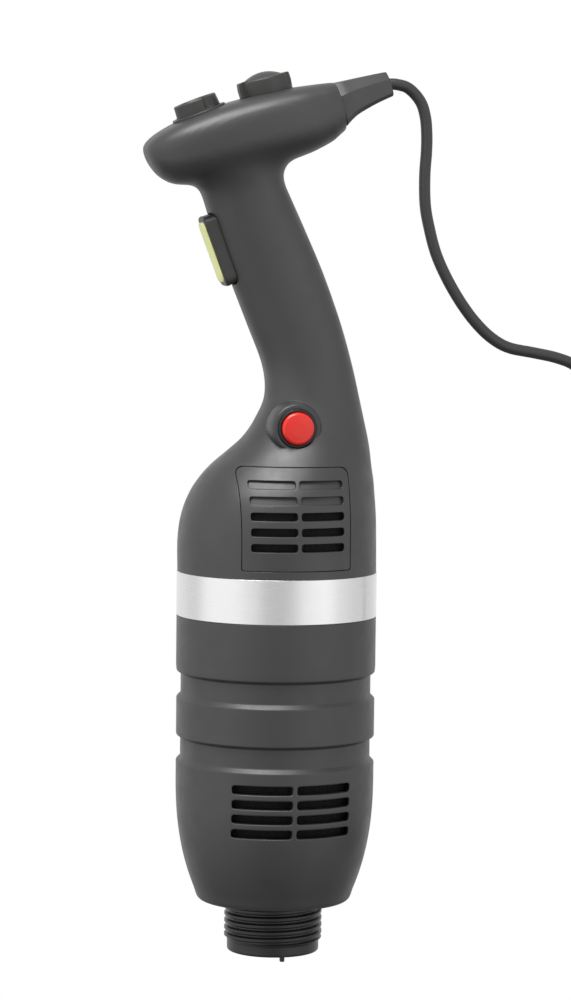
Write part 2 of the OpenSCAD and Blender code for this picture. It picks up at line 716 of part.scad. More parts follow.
module heat_sink() color(metal) translate([-28, -13, board_z + 1.6]) {
    cube([3, 26, 26]);
    for (k = [0 : 5]) translate([2.9, k * 4.8, 0]) cube([13, 1.9, 26]);
}

module board_parts() translate([0, 0, board_z + 1.6]) {
    color([0.15, 0.2, 0.4]) translate([15, 8, 0]) cylinder(r = 6.5, h = 22);
    color(copper) translate([15, -8.2, 4]) rotate_extrude() translate([6, 0]) circle(r = 3);
    color([0.1, 0.1, 0.1]) translate([-8, 12, 0]) cube([10, 5, 14]);
    color([0.8, 0.7, 0.3]) translate([-8, -22, 0]) cube([14, 6, 10]);
}

// Harness from the terminal block down the rear of the handle to the board
module wiring() color([0.15, 0.15, 0.2]) {
    path = smooth([
        [10.6, 0, 404.6], [4.9, 0, 403], [-2.5, 0, 399.5], [-5.4, 0, 392], [-4.2, 0, 384], [-0.5, 0, 372],
        [3, 0, 360], [4, 0, 349], [4, 0, 328], [11, 2, 303], [18, 4, 282], [21, 3, 262], [24, 0, 238],
        [24, 0, 203]], 2);
    tube(path, 2.2, 8, [0, 1, 0.2]);
}

// ---- motor ----

module stator_core() color(steel) translate([0, 0, core_z]) difference() {
    cylinder(r = stator_r, h = core_h);
    translate([0, 0, -1]) cylinder(r = armature_r + 0.8, h = core_h + 2);
    for (y = [-1, 1]) translate([-17, y * 29.5 - 8, -1]) cube([34, 16, core_h + 2]);
    for (a = [45 : 90 : 315]) rotate([0, 0, a]) translate([post_r, 0, -1]) cylinder(r = 4.3, h = core_h + 2);
    for (a = [0, 180]) rotate([0, 0, a]) translate([39.6, 0, -1]) cylinder(r = 1.7, h = core_h + 2);
}

// Two saddle coils: straight legs through the core's windows, and end turns round each pole
module field_coils() color(copper) {
    for (x = [-1, 1]) {
        for (y = [-1, 1]) translate([x * 8.4 - 7.4, y * 31 - 5.6, core_z - 1])
            cube([14.8, 11.2, core_h + 2]);
        for (z = [core_z - 7.5, core_z + core_h + 0.5]) rotate([0, 0, x > 0 ? 0 : 180])
            translate([0, 0, z]) intersection() {
                ring(end_turn_r, 25.4, 7);
                translate([1, -40, 0]) cube([40, 80, 7]);
            }
    }
}

module stator_screws() color(steel)
    for (a = [0, 180]) rotate([0, 0, a]) translate([39.6, 0, core_z + core_h]) screw(1.5, 58, 2.6, 2);

module armature_core() color(steel) translate([0, 0, core_z]) difference() {
    cylinder(r = armature_r, h = core_h);
    translate([0, 0, -1]) cylinder(r = 5, h = core_h + 2);
    for (k = [0 : armature_slots - 1]) rotate([0, 0, k * 360 / armature_slots]) {
        translate([12, -1.9, -1]) cube([9.5, 3.8, core_h + 2]);
        translate([21, -0.9, -1]) cube([4, 1.8, core_h + 2]);
    }
}

module armature_windings() color(copper) {
    for (k = [0 : armature_slots - 1]) rotate([0, 0, k * 360 / armature_slots])
        translate([12.2, -1.7, core_z - 1]) cube([9, 3.4, core_h + 2]);
    for (z = [core_z - 8.2, core_z + core_h + 0.2]) rotate_extrude() translate([0, z])
        polygon([[7, 0.5], [9, 0], [19, 0], [21.6, 2], [22, 4], [21.6, 6], [19, 8], [9, 8], [7, 7.5]]);
}

module commutator() color(copper) translate([0, 0, 158]) difference() {
    cylinder(r = 11, h = 14);
    translate([0, 0, -1]) cylinder(r = 5, h = 16);
    for (k = [0 : armature_slots - 1]) rotate([0, 0, (k + 0.5) * 360 / armature_slots])
        translate([9.5, -0.3, -1]) cube([2, 0.6, 16]);
}

module motor_shaft() color(metal) {
    translate([0, 0, 17]) cylinder(r = 5, h = 9);
    translate([0, 0, 25.5]) cylinder(r = 6, h = 31);
    translate([0, 0, 56.5]) cylinder(r = 5, h = 120);
    translate([0, 0, 176.5]) cylinder(r = 4, h = 11.5);
}

module cooling_fan() color([0.15, 0.15, 0.15]) translate([0, 0, 61]) {
    difference() {
        union() {
            cylinder(r = fan_r, h = 2);
            cylinder(r = 10, h = 16);
        }
        translate([0, 0, -1]) cylinder(r = 5, h = 20);
    }
    for (k = [0 : fan_blades - 1]) rotate([0, 0, k * 360 / fan_blades])
        translate([fan_r * 0.62, 0, 1.5]) rotate([0, 0, 28]) translate([-13.5, -0.9, 0])
            cube([26, 1.8, 12.5]);
}

// Drive dog: a cross-slotted hub that turns the tool's shaft
module drive_coupling() color(metal) translate([0, 0, 15.5]) difference() {
    cylinder(r = 11.5, h = 8.5);
    translate([0, 0, 1.5]) cylinder(r = 5, h = 8);
    for (a = [0, 90]) rotate([0, 0, a]) translate([-12, -2, -1]) cube([24, 4, 2.4]);
}

module lower_shield() color(metal) translate([0, 0, shield_z]) difference() {
    union() {
        cylinder(r = bowl_r(shield_z) - barrel_wall - 0.2, h = 4);
        cylinder(r = 18.5, h = 11);
    }
    translate([0, 0, 1.5]) cylinder(r = 14, h = 12);
    translate([0, 0, -1]) cylinder(r = 9, h = 4);
    for (a = [0 : 60 : 300]) rotate([0, 0, a]) translate([27, 0, -1]) cylinder(r = 5.5, h = 6);
    for (a = [30, 150, 270]) rotate([0, 0, a]) translate([37.2, 0, -1]) cylinder(r = 1.7, h = 6);
}

module shield_screws() color(steel)
    for (a = [30, 150, 270]) rotate([0, 0, a]) translate([37.2, 0, shield_z + 4]) screw(1.5, 12, 2.1, 1.8);

module upper_bridge() color(metal) translate([0, 0, bridge_z]) difference() {
    union() {
        translate([0, 0, 0.3]) ring(45, 37, 3.4);
        for (a = [45, 90, 135]) rotate([0, 0, a]) translate([-44, -6, 0]) cube([88, 12, 4]);
        cylinder(r = 16.5, h = 12);
    }
    translate([0, 0, 3]) cylinder(r = 11, h = 12);
    translate([0, 0, -1]) cylinder(r = 7, h = 6);
    for (a = [45 : 90 : 315]) rotate([0, 0, a]) translate([post_r, 0, -1]) cylinder(r = 1.7, h = 6);
}

module bridge_screws() color(steel)
    for (a = [45 : 90 : 315]) rotate([0, 0, a]) translate([post_r, 0, bridge_z + 4]) screw(1.5, 14, 2.8, 2.2);

module bearing_outer_rings() color(metal)
    for (b = bearings) translate([0, 0, b[0]]) ring(b[4], b[3], b[5]);

module bearing_inner_rings() color(metal)
    for (b = bearings) translate([0, 0, b[0]]) ring(b[2], b[1], b[5]);

module bearing_balls() color(metal)
    for (b = bearings, k = [0 : b[6] - 1]) rotate([0, 0, k * 360 / b[6]])
        translate([(b[2] + b[3]) / 2, 0, b[0] + b[5] / 2]) sphere(r = (b[3] - b[2]) / 2 - 0.03);

module at_brush(y) {
    translate([0, 0, brush_z]) rotate([0, 0, y * 90]) children();
}

module brush_holders() color(brass) for (y = [-1, 1]) at_brush(y) {
    difference() {
        union() {
            translate([13, -5.6, -4.6]) cube([20, 11.2, 9.2]);
            translate([22, -5.6, 4.5]) cube([8, 11.2, bridge_z - brush_z - 4.5]);
        }
        translate([12, -4.1, -3.1]) cube([20, 8.2, 6.2]);
    }
}

module carbon_brushes() color([0.15, 0.15, 0.15]) for (y = [-1, 1]) at_brush(y) difference() {
    translate([9, -4, -3]) cube([13, 8, 6]);
    translate([0, 0, -10]) cylinder(r = 11.05, h = 20);
}

module brush_springs() color(steel) for (y = [-1, 1]) at_brush(y)
    translate([22, 0, 0]) rotate([0, 90, 0]) spring(2.2, 0.4, 9.9, 5);

// ---- mains lead ----

module mains_cord() color([0.16, 0.16, 0.16]) {
    tube(smooth(cord_route, 2), cord_d / 2, cord_sides, [0, 1, 0.02]);
    tube(plug_route, cord_d / 2, cord_sides, [1, 0, 0]);
}

// Outline of the coil: three turns below and two in the hollows above them
function coil_outline(grow) =
    let (r = cord_d / 2, in = coil_mid_r - cord_d - r - grow, out = coil_mid_r + cord_d + r + grow,
        low = rest_z + coil_lift - grow)
    [[in, low], [out, low], [out, low + cord_d + grow], [out - r, low + cord_d + coil_rise + 2 * grow],
     [in + r, low + cord_d + coil_rise + 2 * grow], [in, low + cord_d + grow]];

// The last half turn lies on top of the others
module cord_coil() color([0.16, 0.16, 0.16]) translate([coil_x, 0, 0]) {
    rotate_extrude() polygon(coil_outline(0));
    rotate([0, 0, 30]) rotate_extrude(angle = 150)
        translate([coil_mid_r - cord_d / 2, rest_z + coil_lift + coil_rise])
            square([cord_d, cord_d + coil_rise]);
}

module cord_tie() color([0.1, 0.1, 0.1]) translate([coil_x, 0, 0]) difference() {
    rotate([0, 0, -97]) rotate_extrude(angle = 14) polygon(coil_outline(coil_lift));
    rotate_extrude() polygon(coil_outline(0));
}

module at_plug() {
    translate(plug_at) rotate([90, 0, 0]) children();
}

module plug_body() color([0.12, 0.12, 0.12]) at_plug() {
    cylinder(r1 = 5, r2 = 6.5, h = 12);
    translate([0, 0, 11.5]) rounded_block(34, 26, 34, 9);
}

module plug_pins() color(metal) at_plug()
    for (x = [-9.5, 9.5]) translate([x, 0, 45.5]) {
        cylinder(r = 2.4, h = 17.5);
        translate([0, 0, 17.5]) cylinder(r1 = 2.4, r2 = 1.4, h = 1.5);
    }

shell_near();
shell_far();
inlet_panel_near();
inlet_panel_far();
shell_screws();
steel_band();
barrel();
threaded_collar();
collar_screws();
shaft_seal();
strain_relief();
cord_clamp();
terminal_block();
inner_lead();
trigger_key();
trigger_insert();
trigger_guide();
trigger_spring();
trigger_switch();
lock_button();
lock_ring();
lock_spring();
lock_switch();
push_button();
push_bezel();
push_spring();
push_switch();
speed_dial();
dial_shaft();
dial_potentiometer();
dial_nut();
control_board();
board_spacers();
heat_sink();
board_parts();
wiring();
stator_core();
field_coils();
stator_screws();
armature_core();
armature_windings();
commutator();
motor_shaft();
cooling_fan();
drive_coupling();
lower_shield();
shield_screws();
upper_bridge();
bridge_screws();
bearing_outer_rings();
bearing_inner_rings();
bearing_balls();
brush_holders();
carbon_brushes();
brush_springs();
mains_cord();
cord_coil();
cord_tie();
plug_body();
plug_pins();
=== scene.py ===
import json
import math

import bmesh
import bpy
from mathutils import Matrix, Vector
from mathutils.bvhtree import BVHTree


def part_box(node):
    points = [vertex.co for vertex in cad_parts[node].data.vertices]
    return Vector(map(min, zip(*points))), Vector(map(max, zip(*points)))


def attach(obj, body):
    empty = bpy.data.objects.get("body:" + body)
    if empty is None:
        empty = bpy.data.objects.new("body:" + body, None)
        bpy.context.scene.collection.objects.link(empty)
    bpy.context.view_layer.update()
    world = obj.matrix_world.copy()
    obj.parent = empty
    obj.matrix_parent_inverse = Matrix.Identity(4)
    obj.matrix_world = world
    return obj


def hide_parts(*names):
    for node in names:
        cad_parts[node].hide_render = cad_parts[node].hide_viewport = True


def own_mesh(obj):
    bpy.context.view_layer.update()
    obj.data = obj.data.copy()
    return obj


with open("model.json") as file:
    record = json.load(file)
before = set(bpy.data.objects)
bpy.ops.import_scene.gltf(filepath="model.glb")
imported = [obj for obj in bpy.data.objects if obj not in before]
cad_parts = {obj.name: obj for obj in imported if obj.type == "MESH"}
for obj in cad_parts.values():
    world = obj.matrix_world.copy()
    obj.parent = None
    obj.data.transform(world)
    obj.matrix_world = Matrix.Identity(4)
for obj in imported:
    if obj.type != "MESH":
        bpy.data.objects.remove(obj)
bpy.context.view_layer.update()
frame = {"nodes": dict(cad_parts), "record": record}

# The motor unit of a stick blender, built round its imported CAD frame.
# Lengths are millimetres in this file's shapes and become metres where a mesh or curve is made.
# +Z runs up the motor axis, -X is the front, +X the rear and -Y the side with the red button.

MM = 0.001


# ---------------------------------------------------------------- numbers of the design

# Barrel and band
BARREL_R = 50.0
LOW_R = 49.75                  # below the grooves the barrel is a little slimmer
BARREL_FLOOR_Z = 26.0
BAND_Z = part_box("steel_band")[0].z / MM
BAND_H = 22.0
HOUSING_Z = BAND_Z + BAND_H    # bottom of the upper housing
BARREL_WALL = 3.2
NECK_R = 46.0
NECK_TOP_Z = 203.0
BOWL_TOP_Z = 90.0              # where the lower curve becomes straight
BOWL_DROP = 11.3
BOWL_POWER = 2.45
GROOVE_DEPTH = 2.1
GROOVES = ((103.1, 13.2), (135.1, 13.6))   # middle and width of each grip groove
FLOOR_TOP_Z = BARREL_FLOOR_Z + 5
FLANGE_R = 34.0                # the threaded collar's flange, inside the barrel's floor
SHIELD_Z = 44.0
CORE_Z = 98.0
BRIDGE_Z = 174.0
BRIDGE_TOP_Z = 186.0
BRIDGE_SEAT_R = 45.2
BARREL_INSIDE_R = 44.0
POST_RING_R = 41.0             # circle on which the stator's four screw posts stand
NECK_GROOVE = (196.0, 199.0)
NECK_GROOVE_DEPTH = 1.0

# Vents
OUTLET = {"half_w": 30.0, "h": 4.4, "pitch": 7.3, "low": 66.3, "rows": 4,
          "spans": ((-30, -1.4), (0.7, 29.0))}
INLET = {"half_w": 25.0, "h": 4.0, "pitch": 7.6, "low": 207.6, "rows": 5,
         "spans": ((-22.6, -0.3), (1.5, 24.1))}
OPEN_INLET_ROWS = 3            # the two rows above them are blind
PANEL = {"mid": 0.5, "half_w": 27.5, "low": 196.0, "high": 246.5, "top_r": 5.0, "low_r": 1.5}
PANEL_GAP = 0.35

# Threaded collar
THREAD_D = 49.2
THREAD_PITCH = 3.5
THREAD_DEPTH = 1.5
SOCKET_R = 17.5
SOCKET_LEN = 14.0
REST_Z = -2.0                  # tips of the index nibs, where the object stands

# Upper housing
SHELL_WALL = 2.8
HEAD_Z = 414.0
HEAD_TILT = 16.6
HEAD_TOP_SQUARER = 1.5         # added to the squareness of the head's upper half
HEAD_END = 28.6                # rear end face of the head, in its own frame
BODY_SECTIONS = (              # height, front, rear, half width, squareness
    (186, -49.7, 49.7, 49.7, 2), (192, -49.8, 49.8, 49.8, 2), (208, -49.9, 49.6, 49.8, 2),
    (220, -48.2, 49.3, 49.2, 2), (230, -44.6, 48.6, 46.9, 2), (238, -39.7, 48, 43.2, 2),
    (245, -33.6, 47, 38.8, 2), (252, -25.3, 46.2, 34, 2.05), (259, -17.5, 45, 30, 2.1),
    (268, -11.4, 43, 26.2, 2.15), (280, -6.7, 40.3, 22.4, 2.2), (295, -8.2, 36.8, 19.8, 2.25),
    (315, -16, 31, 18.8, 2.3), (340, -26.1, 21.8, 18.5, 2.3), (362, -34.2, 12, 18.5, 2.3),
    (378, -39.4, 4.5, 18.7, 2.3), (385, -43.6, 1.4, 19.6, 2.3), (391, -49.6, 0.6, 21.4, 2.3),
    (396, -51, 3.4, 22.6, 2.3), (400, -50, 9, 22, 2.3), (404, -46, 16, 19, 2.3))
HEAD_SECTIONS = (              # place, top, bottom, half width, squareness
    (-70.2, 6.4, 3.4, 3.5, 2), (-68.8, 9, -2.4, 10, 2), (-65.5, 11.2, -8.6, 15.6, 2.1),
    (-59, 13.6, -13.8, 20.6, 2.2), (-48, 15.9, -16.6, 24.6, 2.3), (-30, 17.7, -17.8, 27, 2.35),
    (-10, 17.8, -18, 27.4, 2.35), (8, 16.6, -17.5, 25.6, 2.35), (20, 15, -15.2, 22.2, 2.35),
    (24.5, 14.3, -13.5, 20.6, 2.35), (28.6, 13.6, -11.6, 18.8, 2.35), (34, 12.6, -9.4, 16.4, 2.35))
RELIEF_SECTIONS = (            # place, top, bottom, half width
    (29.5, 12.9, -8.8, 14.8), (31, 12.8, -7.8, 14.6), (33.5, 12.7, -6.4, 14.0), (38, 12.4, -4.7, 12.4),
    (48, 11.8, -2.6, 9.4), (57.2, 11.1, -1.4, 6.6))
SCREW_SPOTS = ((-38, 212), (38, 212), (31, 285), (14, 328), (-55, 396.5), (21.5, 412))
SCREW_SEAT_Y = 9.0

# Controls
PUSH_AT = (-38.7, 17.7)        # in the head's frame, like DIAL_AT
PUSH_LEAN = 5.0
PUSH_R = 11.4
PUSH_BEZEL_R = 13.75
DIAL_AT = (-3.2, 17.4)
DIAL_LEAN = -1.5
DIAL_R = 13.6
DIAL_H = 7.7
DIAL_SKIRT_Z = -1.3            # the knob's skirt stands in a round seat in the head
DIAL_HUB_Z = 3.0               # the knob's hub ends above the nut and bush of the potentiometer
TRIGGER_AT = (-34.7, 350.8)
TRIGGER_LEAN = 20.6
TRIGGER_LEN = 36.5
TRIGGER_W = 17.5
LOCK_AT = (3.2, 265.0)
BOSS_Y = -(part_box("lock_ring")[0].y / MM + 1)
BOSS_R = 11.4
BOSS_EDGE = ((1.9, -11), (1.6, -5), (1.1, -1.8), (0.6, -0.5), (0, 0))   # how much wider, and height
LOCK_R = 8.0
LOCK_RING_R = 9.65

# Mains lead
CORD_D = 5.8
COIL_X = 210.0
COIL_MID_R = 33.0
COIL_LIFT = 0.8                # the tie passes under the coil
COIL_RISE = 0.87 * CORD_D      # height from one layer of turns to the next
RELIEF_EXIT = (54, 0, 435.1)
CORD_ROUTE = (
    RELIEF_EXIT, (58.5, 0, 435.1), (64.8, 0, 433.2), (70.8, 0, 427), (73.5, 0, 419.5), (74.4, 0, 411),
    (74.4, 0, 402), (73.7, 0, 390), (74.1, 0, 376), (76.1, 0, 365), (80.1, 0, 351), (86.3, 0, 338),
    (94, 0, 325.7), (101.8, 0, 316), (110, 0, 308.6), (119, 0, 303.9), (132, 0, 301.4),
    (144, 0, 298.9), (153.5, 0, 295.2), (160.7, 0.5, 288.2), (165.2, 1.5, 277), (167.3, 3, 258),
    (168.5, 5.5, 228), (169.4, 9.5, 190), (170.3, 15, 147), (171, 22, 105), (171.3, 29, 72),
    (171.4, 34.5, 46), (171.3, 35.5, 28), (171.2, 30, 13), (171.2, 19, 4.5), (171.2, 9, 2.2),
    (171.2, 0, 1.7))
PLUG_AT = (175, -33, 11)
PLUG_ROUTE = ((177, -2, 11.8), (177, -8, 12.4), (176.8, -14, 12.6), (176.2, -23, 11.8), PLUG_AT)


# ---------------------------------------------------------------- frames of the sub-parts

def turned(angle, axis):
    return Matrix.Rotation(math.radians(angle), 4, axis)


IN_HEAD = Matrix.Translation((0, 0, HEAD_Z)) @ turned(-HEAD_TILT, "Y")
AT_PUSH = IN_HEAD @ Matrix.Translation((PUSH_AT[0], 0, PUSH_AT[1])) @ turned(-PUSH_LEAN, "Y")
AT_DIAL = IN_HEAD @ Matrix.Translation((DIAL_AT[0], 0, DIAL_AT[1])) @ turned(-DIAL_LEAN, "Y")
AT_TRIGGER = Matrix.Translation((TRIGGER_AT[0], 0, TRIGGER_AT[1])) @ turned(-90 - TRIGGER_LEAN, "Y")
AT_LOCK = Matrix.Translation((LOCK_AT[0], -BOSS_Y, LOCK_AT[1])) @ turned(90, "X")
AT_PLUG = Matrix.Translation(PLUG_AT) @ turned(90, "X")
UPRIGHT = Matrix.Identity(4)


# ---------------------------------------------------------------- curves and outlines

def smooth(rows, steps):
    """A finer list of rows along a smooth curve through rows."""
    last = len(rows) - 1
    finer = []
    for i in range(last):
        a, b, c, d = (rows[k] for k in (max(i - 1, 0), i, i + 1, min(i + 2, last)))
        for k in range(steps):
            t = k / steps
            finer.append([
                0.5 * (2 * q + (r - p) * t + (2 * p - 5 * q + 4 * r - s) * t * t
                       + (3 * q - p - 3 * r + s) * t ** 3)
                for p, q, r, s in zip(a, b, c, d)])
    finer.append(list(rows[-1]))
    return finer


def ease(t):
    """0 before 0, 1 after 1, and a soft step between."""
    t = min(max(t, 0.0), 1.0)
    return t * t * (3 - 2 * t)


def super_corner(angle, squareness):
    c, s = math.cos(angle), math.sin(angle)
    return (math.copysign(abs(c) ** (2 / squareness), c),
            math.copysign(abs(s) ** (2 / squareness), s))


def body_ring(row, count, draw_in=0.0):
    """Level ring of the upper housing."""
    z, front, rear, half_w, squareness = row
    ring = []
    for i in range(count):
        c, s = super_corner(2 * math.pi * i / count, squareness)
        ring.append(((front + rear) / 2 + ((rear - front) / 2 - draw_in) * c,
                     (half_w - draw_in) * s, z))
    return ring


def head_ring(row, count, draw_in=0.0, flat_top=0.0):
    """Upright ring of the head, in its own frame. flat_top makes the upper half squarer."""
    place, top, bottom, half_w, squareness = row
    ring = []
    for i in range(count):
        c, s = super_corner(2 * math.pi * i / count, squareness + (flat_top if 2 * i < count else 0))
        ring.append((place, max(half_w - draw_in, 0.5) * c,
                     (top + bottom) / 2 + max((top - bottom) / 2 - draw_in, 0.5) * s))
    return ring


def round_corners(corners, steps=5):
    """A closed outline through corners (x, y, radius), each rounded by a curve of that radius."""
    outline = []
    count = len(corners)
    for i, (x, y, radius) in enumerate(corners):
        here = Vector((x, y))
        if radius <= 0:
            outline.append((x, y))
            continue
        back = Vector(corners[i - 1][:2]) - here
        on = Vector(corners[(i + 1) % count][:2]) - here
        reach = radius / max(math.tan(back.angle(on) / 2), 0.05)
        reach = min(reach, 0.48 * back.length, 0.48 * on.length)
        start, end = here + back.normalized() * reach, here + on.normalized() * reach
        for k in range(steps + 1):
            t = k / steps
            p = start * (1 - t) ** 2 + here * (2 * t * (1 - t)) + end * t * t
            outline.append((p.x, p.y))
    return outline


def relief_ring(place, top, bottom, half_w, draw_in=0.0):
    """Section of the strain relief: flat sides under a broad chamfer along each top edge."""
    top, bottom, half_w = top - draw_in, bottom + draw_in, half_w - draw_in
    chamfer = 0.32 * (top - bottom)
    low = 0.4 * chamfer
    right = [(half_w - low, bottom, 1.0), (half_w, bottom + low, 1.0), (half_w, top - chamfer, 0.8),
             (half_w - 0.9 * chamfer, top, 0.9)]
    left = [(-y, z, r) for y, z, r in reversed(right)]
    return [(place, y, z) for y, z in round_corners(right + left, 6)]


def bowl_r(z):
    """Radius of the barrel's outside at height z, below the grooves."""
    share = max(BOWL_TOP_Z - z, 0) / (BOWL_TOP_Z - 28)
    return LOW_R - BOWL_DROP * share ** BOWL_POWER


FINE_BODY = smooth(BODY_SECTIONS, 12)


def body_y(x, z):
    """Half width of the upper housing's outside at x and height z."""
    for low, high in zip(FINE_BODY, FINE_BODY[1:]):
        if low[0] <= z <= high[0]:
            t = (z - low[0]) / (high[0] - low[0])
            front, rear, half_w, squareness = (a + (b - a) * t for a, b in zip(low[1:], high[1:]))
            share = min(abs(x - (front + rear) / 2) / ((rear - front) / 2), 0.999)
            return half_w * (1 - share ** squareness) ** (1 / squareness)
    raise ValueError(f"no section at {z}")


# ---------------------------------------------------------------- meshes

def linked(obj):
    """Puts obj in the scene."""
    bpy.context.scene.collection.objects.link(obj)
    return obj


def made(name, verts, faces, place=UPRIGHT):
    """A mesh object from millimetre points in a sub-part's frame."""
    mesh = bpy.data.meshes.new(name)
    mesh.from_pydata([place @ Vector(v) * MM for v in verts], [], faces)
    bm = bmesh.new()
    bm.from_mesh(mesh)
    bmesh.ops.remove_doubles(bm, verts=bm.verts, dist=1e-7)
    bmesh.ops.dissolve_degenerate(bm, edges=bm.edges, dist=1e-8)
    bmesh.ops.recalc_face_normals(bm, faces=bm.faces)
    bm.to_mesh(mesh)
    bm.free()
    return linked(bpy.data.objects.new(name, mesh))


def loft(name, rings, place=UPRIGHT, closed=False, capped=True):
    """Solid through equal rings; closed joins the last ring to the first. Without caps its two ends
    have to meet, as a thread's do."""
    count, last = len(rings[0]), len(rings)
    faces = []
    for i in range(last if closed else last - 1):
        j = (i + 1) % last
        for k in range(count):
            n = (k + 1) % count
            faces.append((i * count + k, j * count + k, j * count + n, i * count + n))
    if capped and not closed:
        faces.append(tuple(reversed(range(count))))
        faces.append(tuple((last - 1) * count + k for k in range(count)))
    return made(name, [v for ring in rings for v in ring], faces, place)


def around(outline, angle, x=0.0):
    """Outline of (radius, height) turned by angle about the upright line through x."""
    return [(x + r * math.cos(angle), r * math.sin(angle), z) for r, z in outline]


def lathe(name, outline, segments=160, place=UPRIGHT):
    """Solid of revolution of a closed outline of (radius, height)."""
    outline = [(max(r, 0), z) for r, z in outline]
    rings = [around(outline, 2 * math.pi * i / segments) for i in range(segments)]
    return loft(name, rings, place, closed=True)


def prism(name, outline, low, high, place=UPRIGHT):
    """Straight solid of a closed outline of (x, y), from height low to high."""
    return loft(name, [[(x, y, z) for x, y in outline] for z in (low, high)], place)


def circle(radius, count=64, centre=(0, 0)):
    return [(centre[0] + radius * math.cos(2 * math.pi * k / count),
             centre[1] + radius * math.sin(2 * math.pi * k / count)) for k in range(count)]


def rounded_box(half_l, half_w, radius, steps=8):
    return round_corners([(half_l, half_w, radius), (-half_l, half_w, radius),
                          (-half_l, -half_w, radius), (half_l, -half_w, radius)], steps)


def block(name, low, high, place=UPRIGHT):
    outline = [(low[0], low[1]), (high[0], low[1]), (high[0], high[1]), (low[0], high[1])]
    return prism(name, outline, low[2], high[2], place)


def bake(obj):
    """Applies obj's modifiers."""
    graph = bpy.context.evaluated_depsgraph_get()
    mesh = bpy.data.meshes.new_from_object(obj.evaluated_get(graph))
    old = obj.data
    obj.modifiers.clear()
    obj.data = mesh
    bpy.data.meshes.remove(old)
    return obj


def joined(objects):
    """Objects' meshes in one object, as they are."""
    bm = bmesh.new()
    for o in objects:
        bm.from_mesh(o.data)
    mesh = bpy.data.meshes.new(objects[0].name)
    bm.to_mesh(mesh)
    bm.free()
    objects[0].data = mesh
    for o in objects[1:]:
        bpy.data.objects.remove(o)
    return objects[0]


def carve(target, tool, operation="DIFFERENCE", overlaps=False, solver="EXACT"):
    """Boolean of target with tool, which is used up. overlaps says that tool crosses itself."""
    cut = target.modifiers.new("cut", "BOOLEAN")
    cut.operation = operation
    cut.solver = solver
    cut.use_self = overlaps
    cut.object = tool
    bake(target)
    bpy.data.objects.remove(tool)
    return target


def welded(obj, distance=0.001):
    """Merges points closer than distance millimetres, which closes hairline gaps left by a boolean."""
    bm = bmesh.new()
    bm.from_mesh(obj.data)
    bmesh.ops.remove_doubles(bm, verts=bm.verts, dist=distance * MM)
    bmesh.ops.dissolve_degenerate(bm, edges=bm.edges, dist=distance * MM)
    bm.to_mesh(obj.data)
    bm.free()
    return obj


def copied(obj, name):
    return linked(bpy.data.objects.new(name, obj.data.copy()))


def shade(obj, angle=32):
    """Smooth shading that keeps edges sharper than angle."""
    mesh = obj.data
    mesh.polygons.foreach_set("use_smooth", [True] * len(mesh.polygons))
    mesh.set_sharp_from_angle(angle=math.radians(angle))
    weighted = obj.modifiers.new("normals", "WEIGHTED_NORMAL")
    weighted.keep_sharp = True
    weighted.weight = 60
    bake(obj)
    return obj


def piece(obj, name, body, slot, *nodes, material=None):
    """Names obj, gives it its slot's material unless another is named, and puts it in the place of
    the CAD nodes that it stands for."""
    obj.name = name
    obj.data.materials.clear()
    obj.data.materials.append(MATERIALS[material or slot])
    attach(obj, body)
    if nodes:
        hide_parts(*nodes)
    return obj


# ---------------------------------------------------------------- camera

CAMERA_AZIMUTH = math.radians(-12.5)
CAMERA_DISTANCE = 1.8
CAMERA_HEIGHT = 0.3725
CAMERA_AIM_SIDE = 0.004
CAMERA_AIM_HEIGHT = 0.2275
CAMERA_ROLL = math.radians(0.65)
CAMERA_LENS = 130.0


def make_camera():
    toward = Vector((math.sin(CAMERA_AZIMUTH), -math.cos(CAMERA_AZIMUTH), 0))
    side = Vector((math.cos(CAMERA_AZIMUTH), math.sin(CAMERA_AZIMUTH), 0))
    spot = toward * CAMERA_DISTANCE + Vector((0, 0, CAMERA_HEIGHT))
    aim = side * CAMERA_AIM_SIDE + Vector((0, 0, CAMERA_AIM_HEIGHT))
    back = (spot - aim).normalized()
    right = Vector((0, 0, 1)).cross(back).normalized()
    up = back.cross(right)
    right, up = (right * math.cos(CAMERA_ROLL) + up * math.sin(CAMERA_ROLL),
                 up * math.cos(CAMERA_ROLL) - right * math.sin(CAMERA_ROLL))
    data = bpy.data.cameras.new("camera")
    data.lens = CAMERA_LENS
    data.sensor_width = 36.0
    data.clip_start = 0.05
    data.clip_end = 200
    camera = linked(bpy.data.objects.new("camera", data))
    camera.matrix_world = Matrix.Translation(spot) @ Matrix((right, up, back)).transposed().to_4x4()
    bpy.context.scene.camera = camera


make_camera()


# ---------------------------------------------------------------- materials

SHADER_NAMES = {"metallic": "Metallic", "specular": "Specular IOR Level", "anisotropic": "Anisotropic",
                "coat": "Coat Weight", "coat_roughness": "Coat Roughness"}


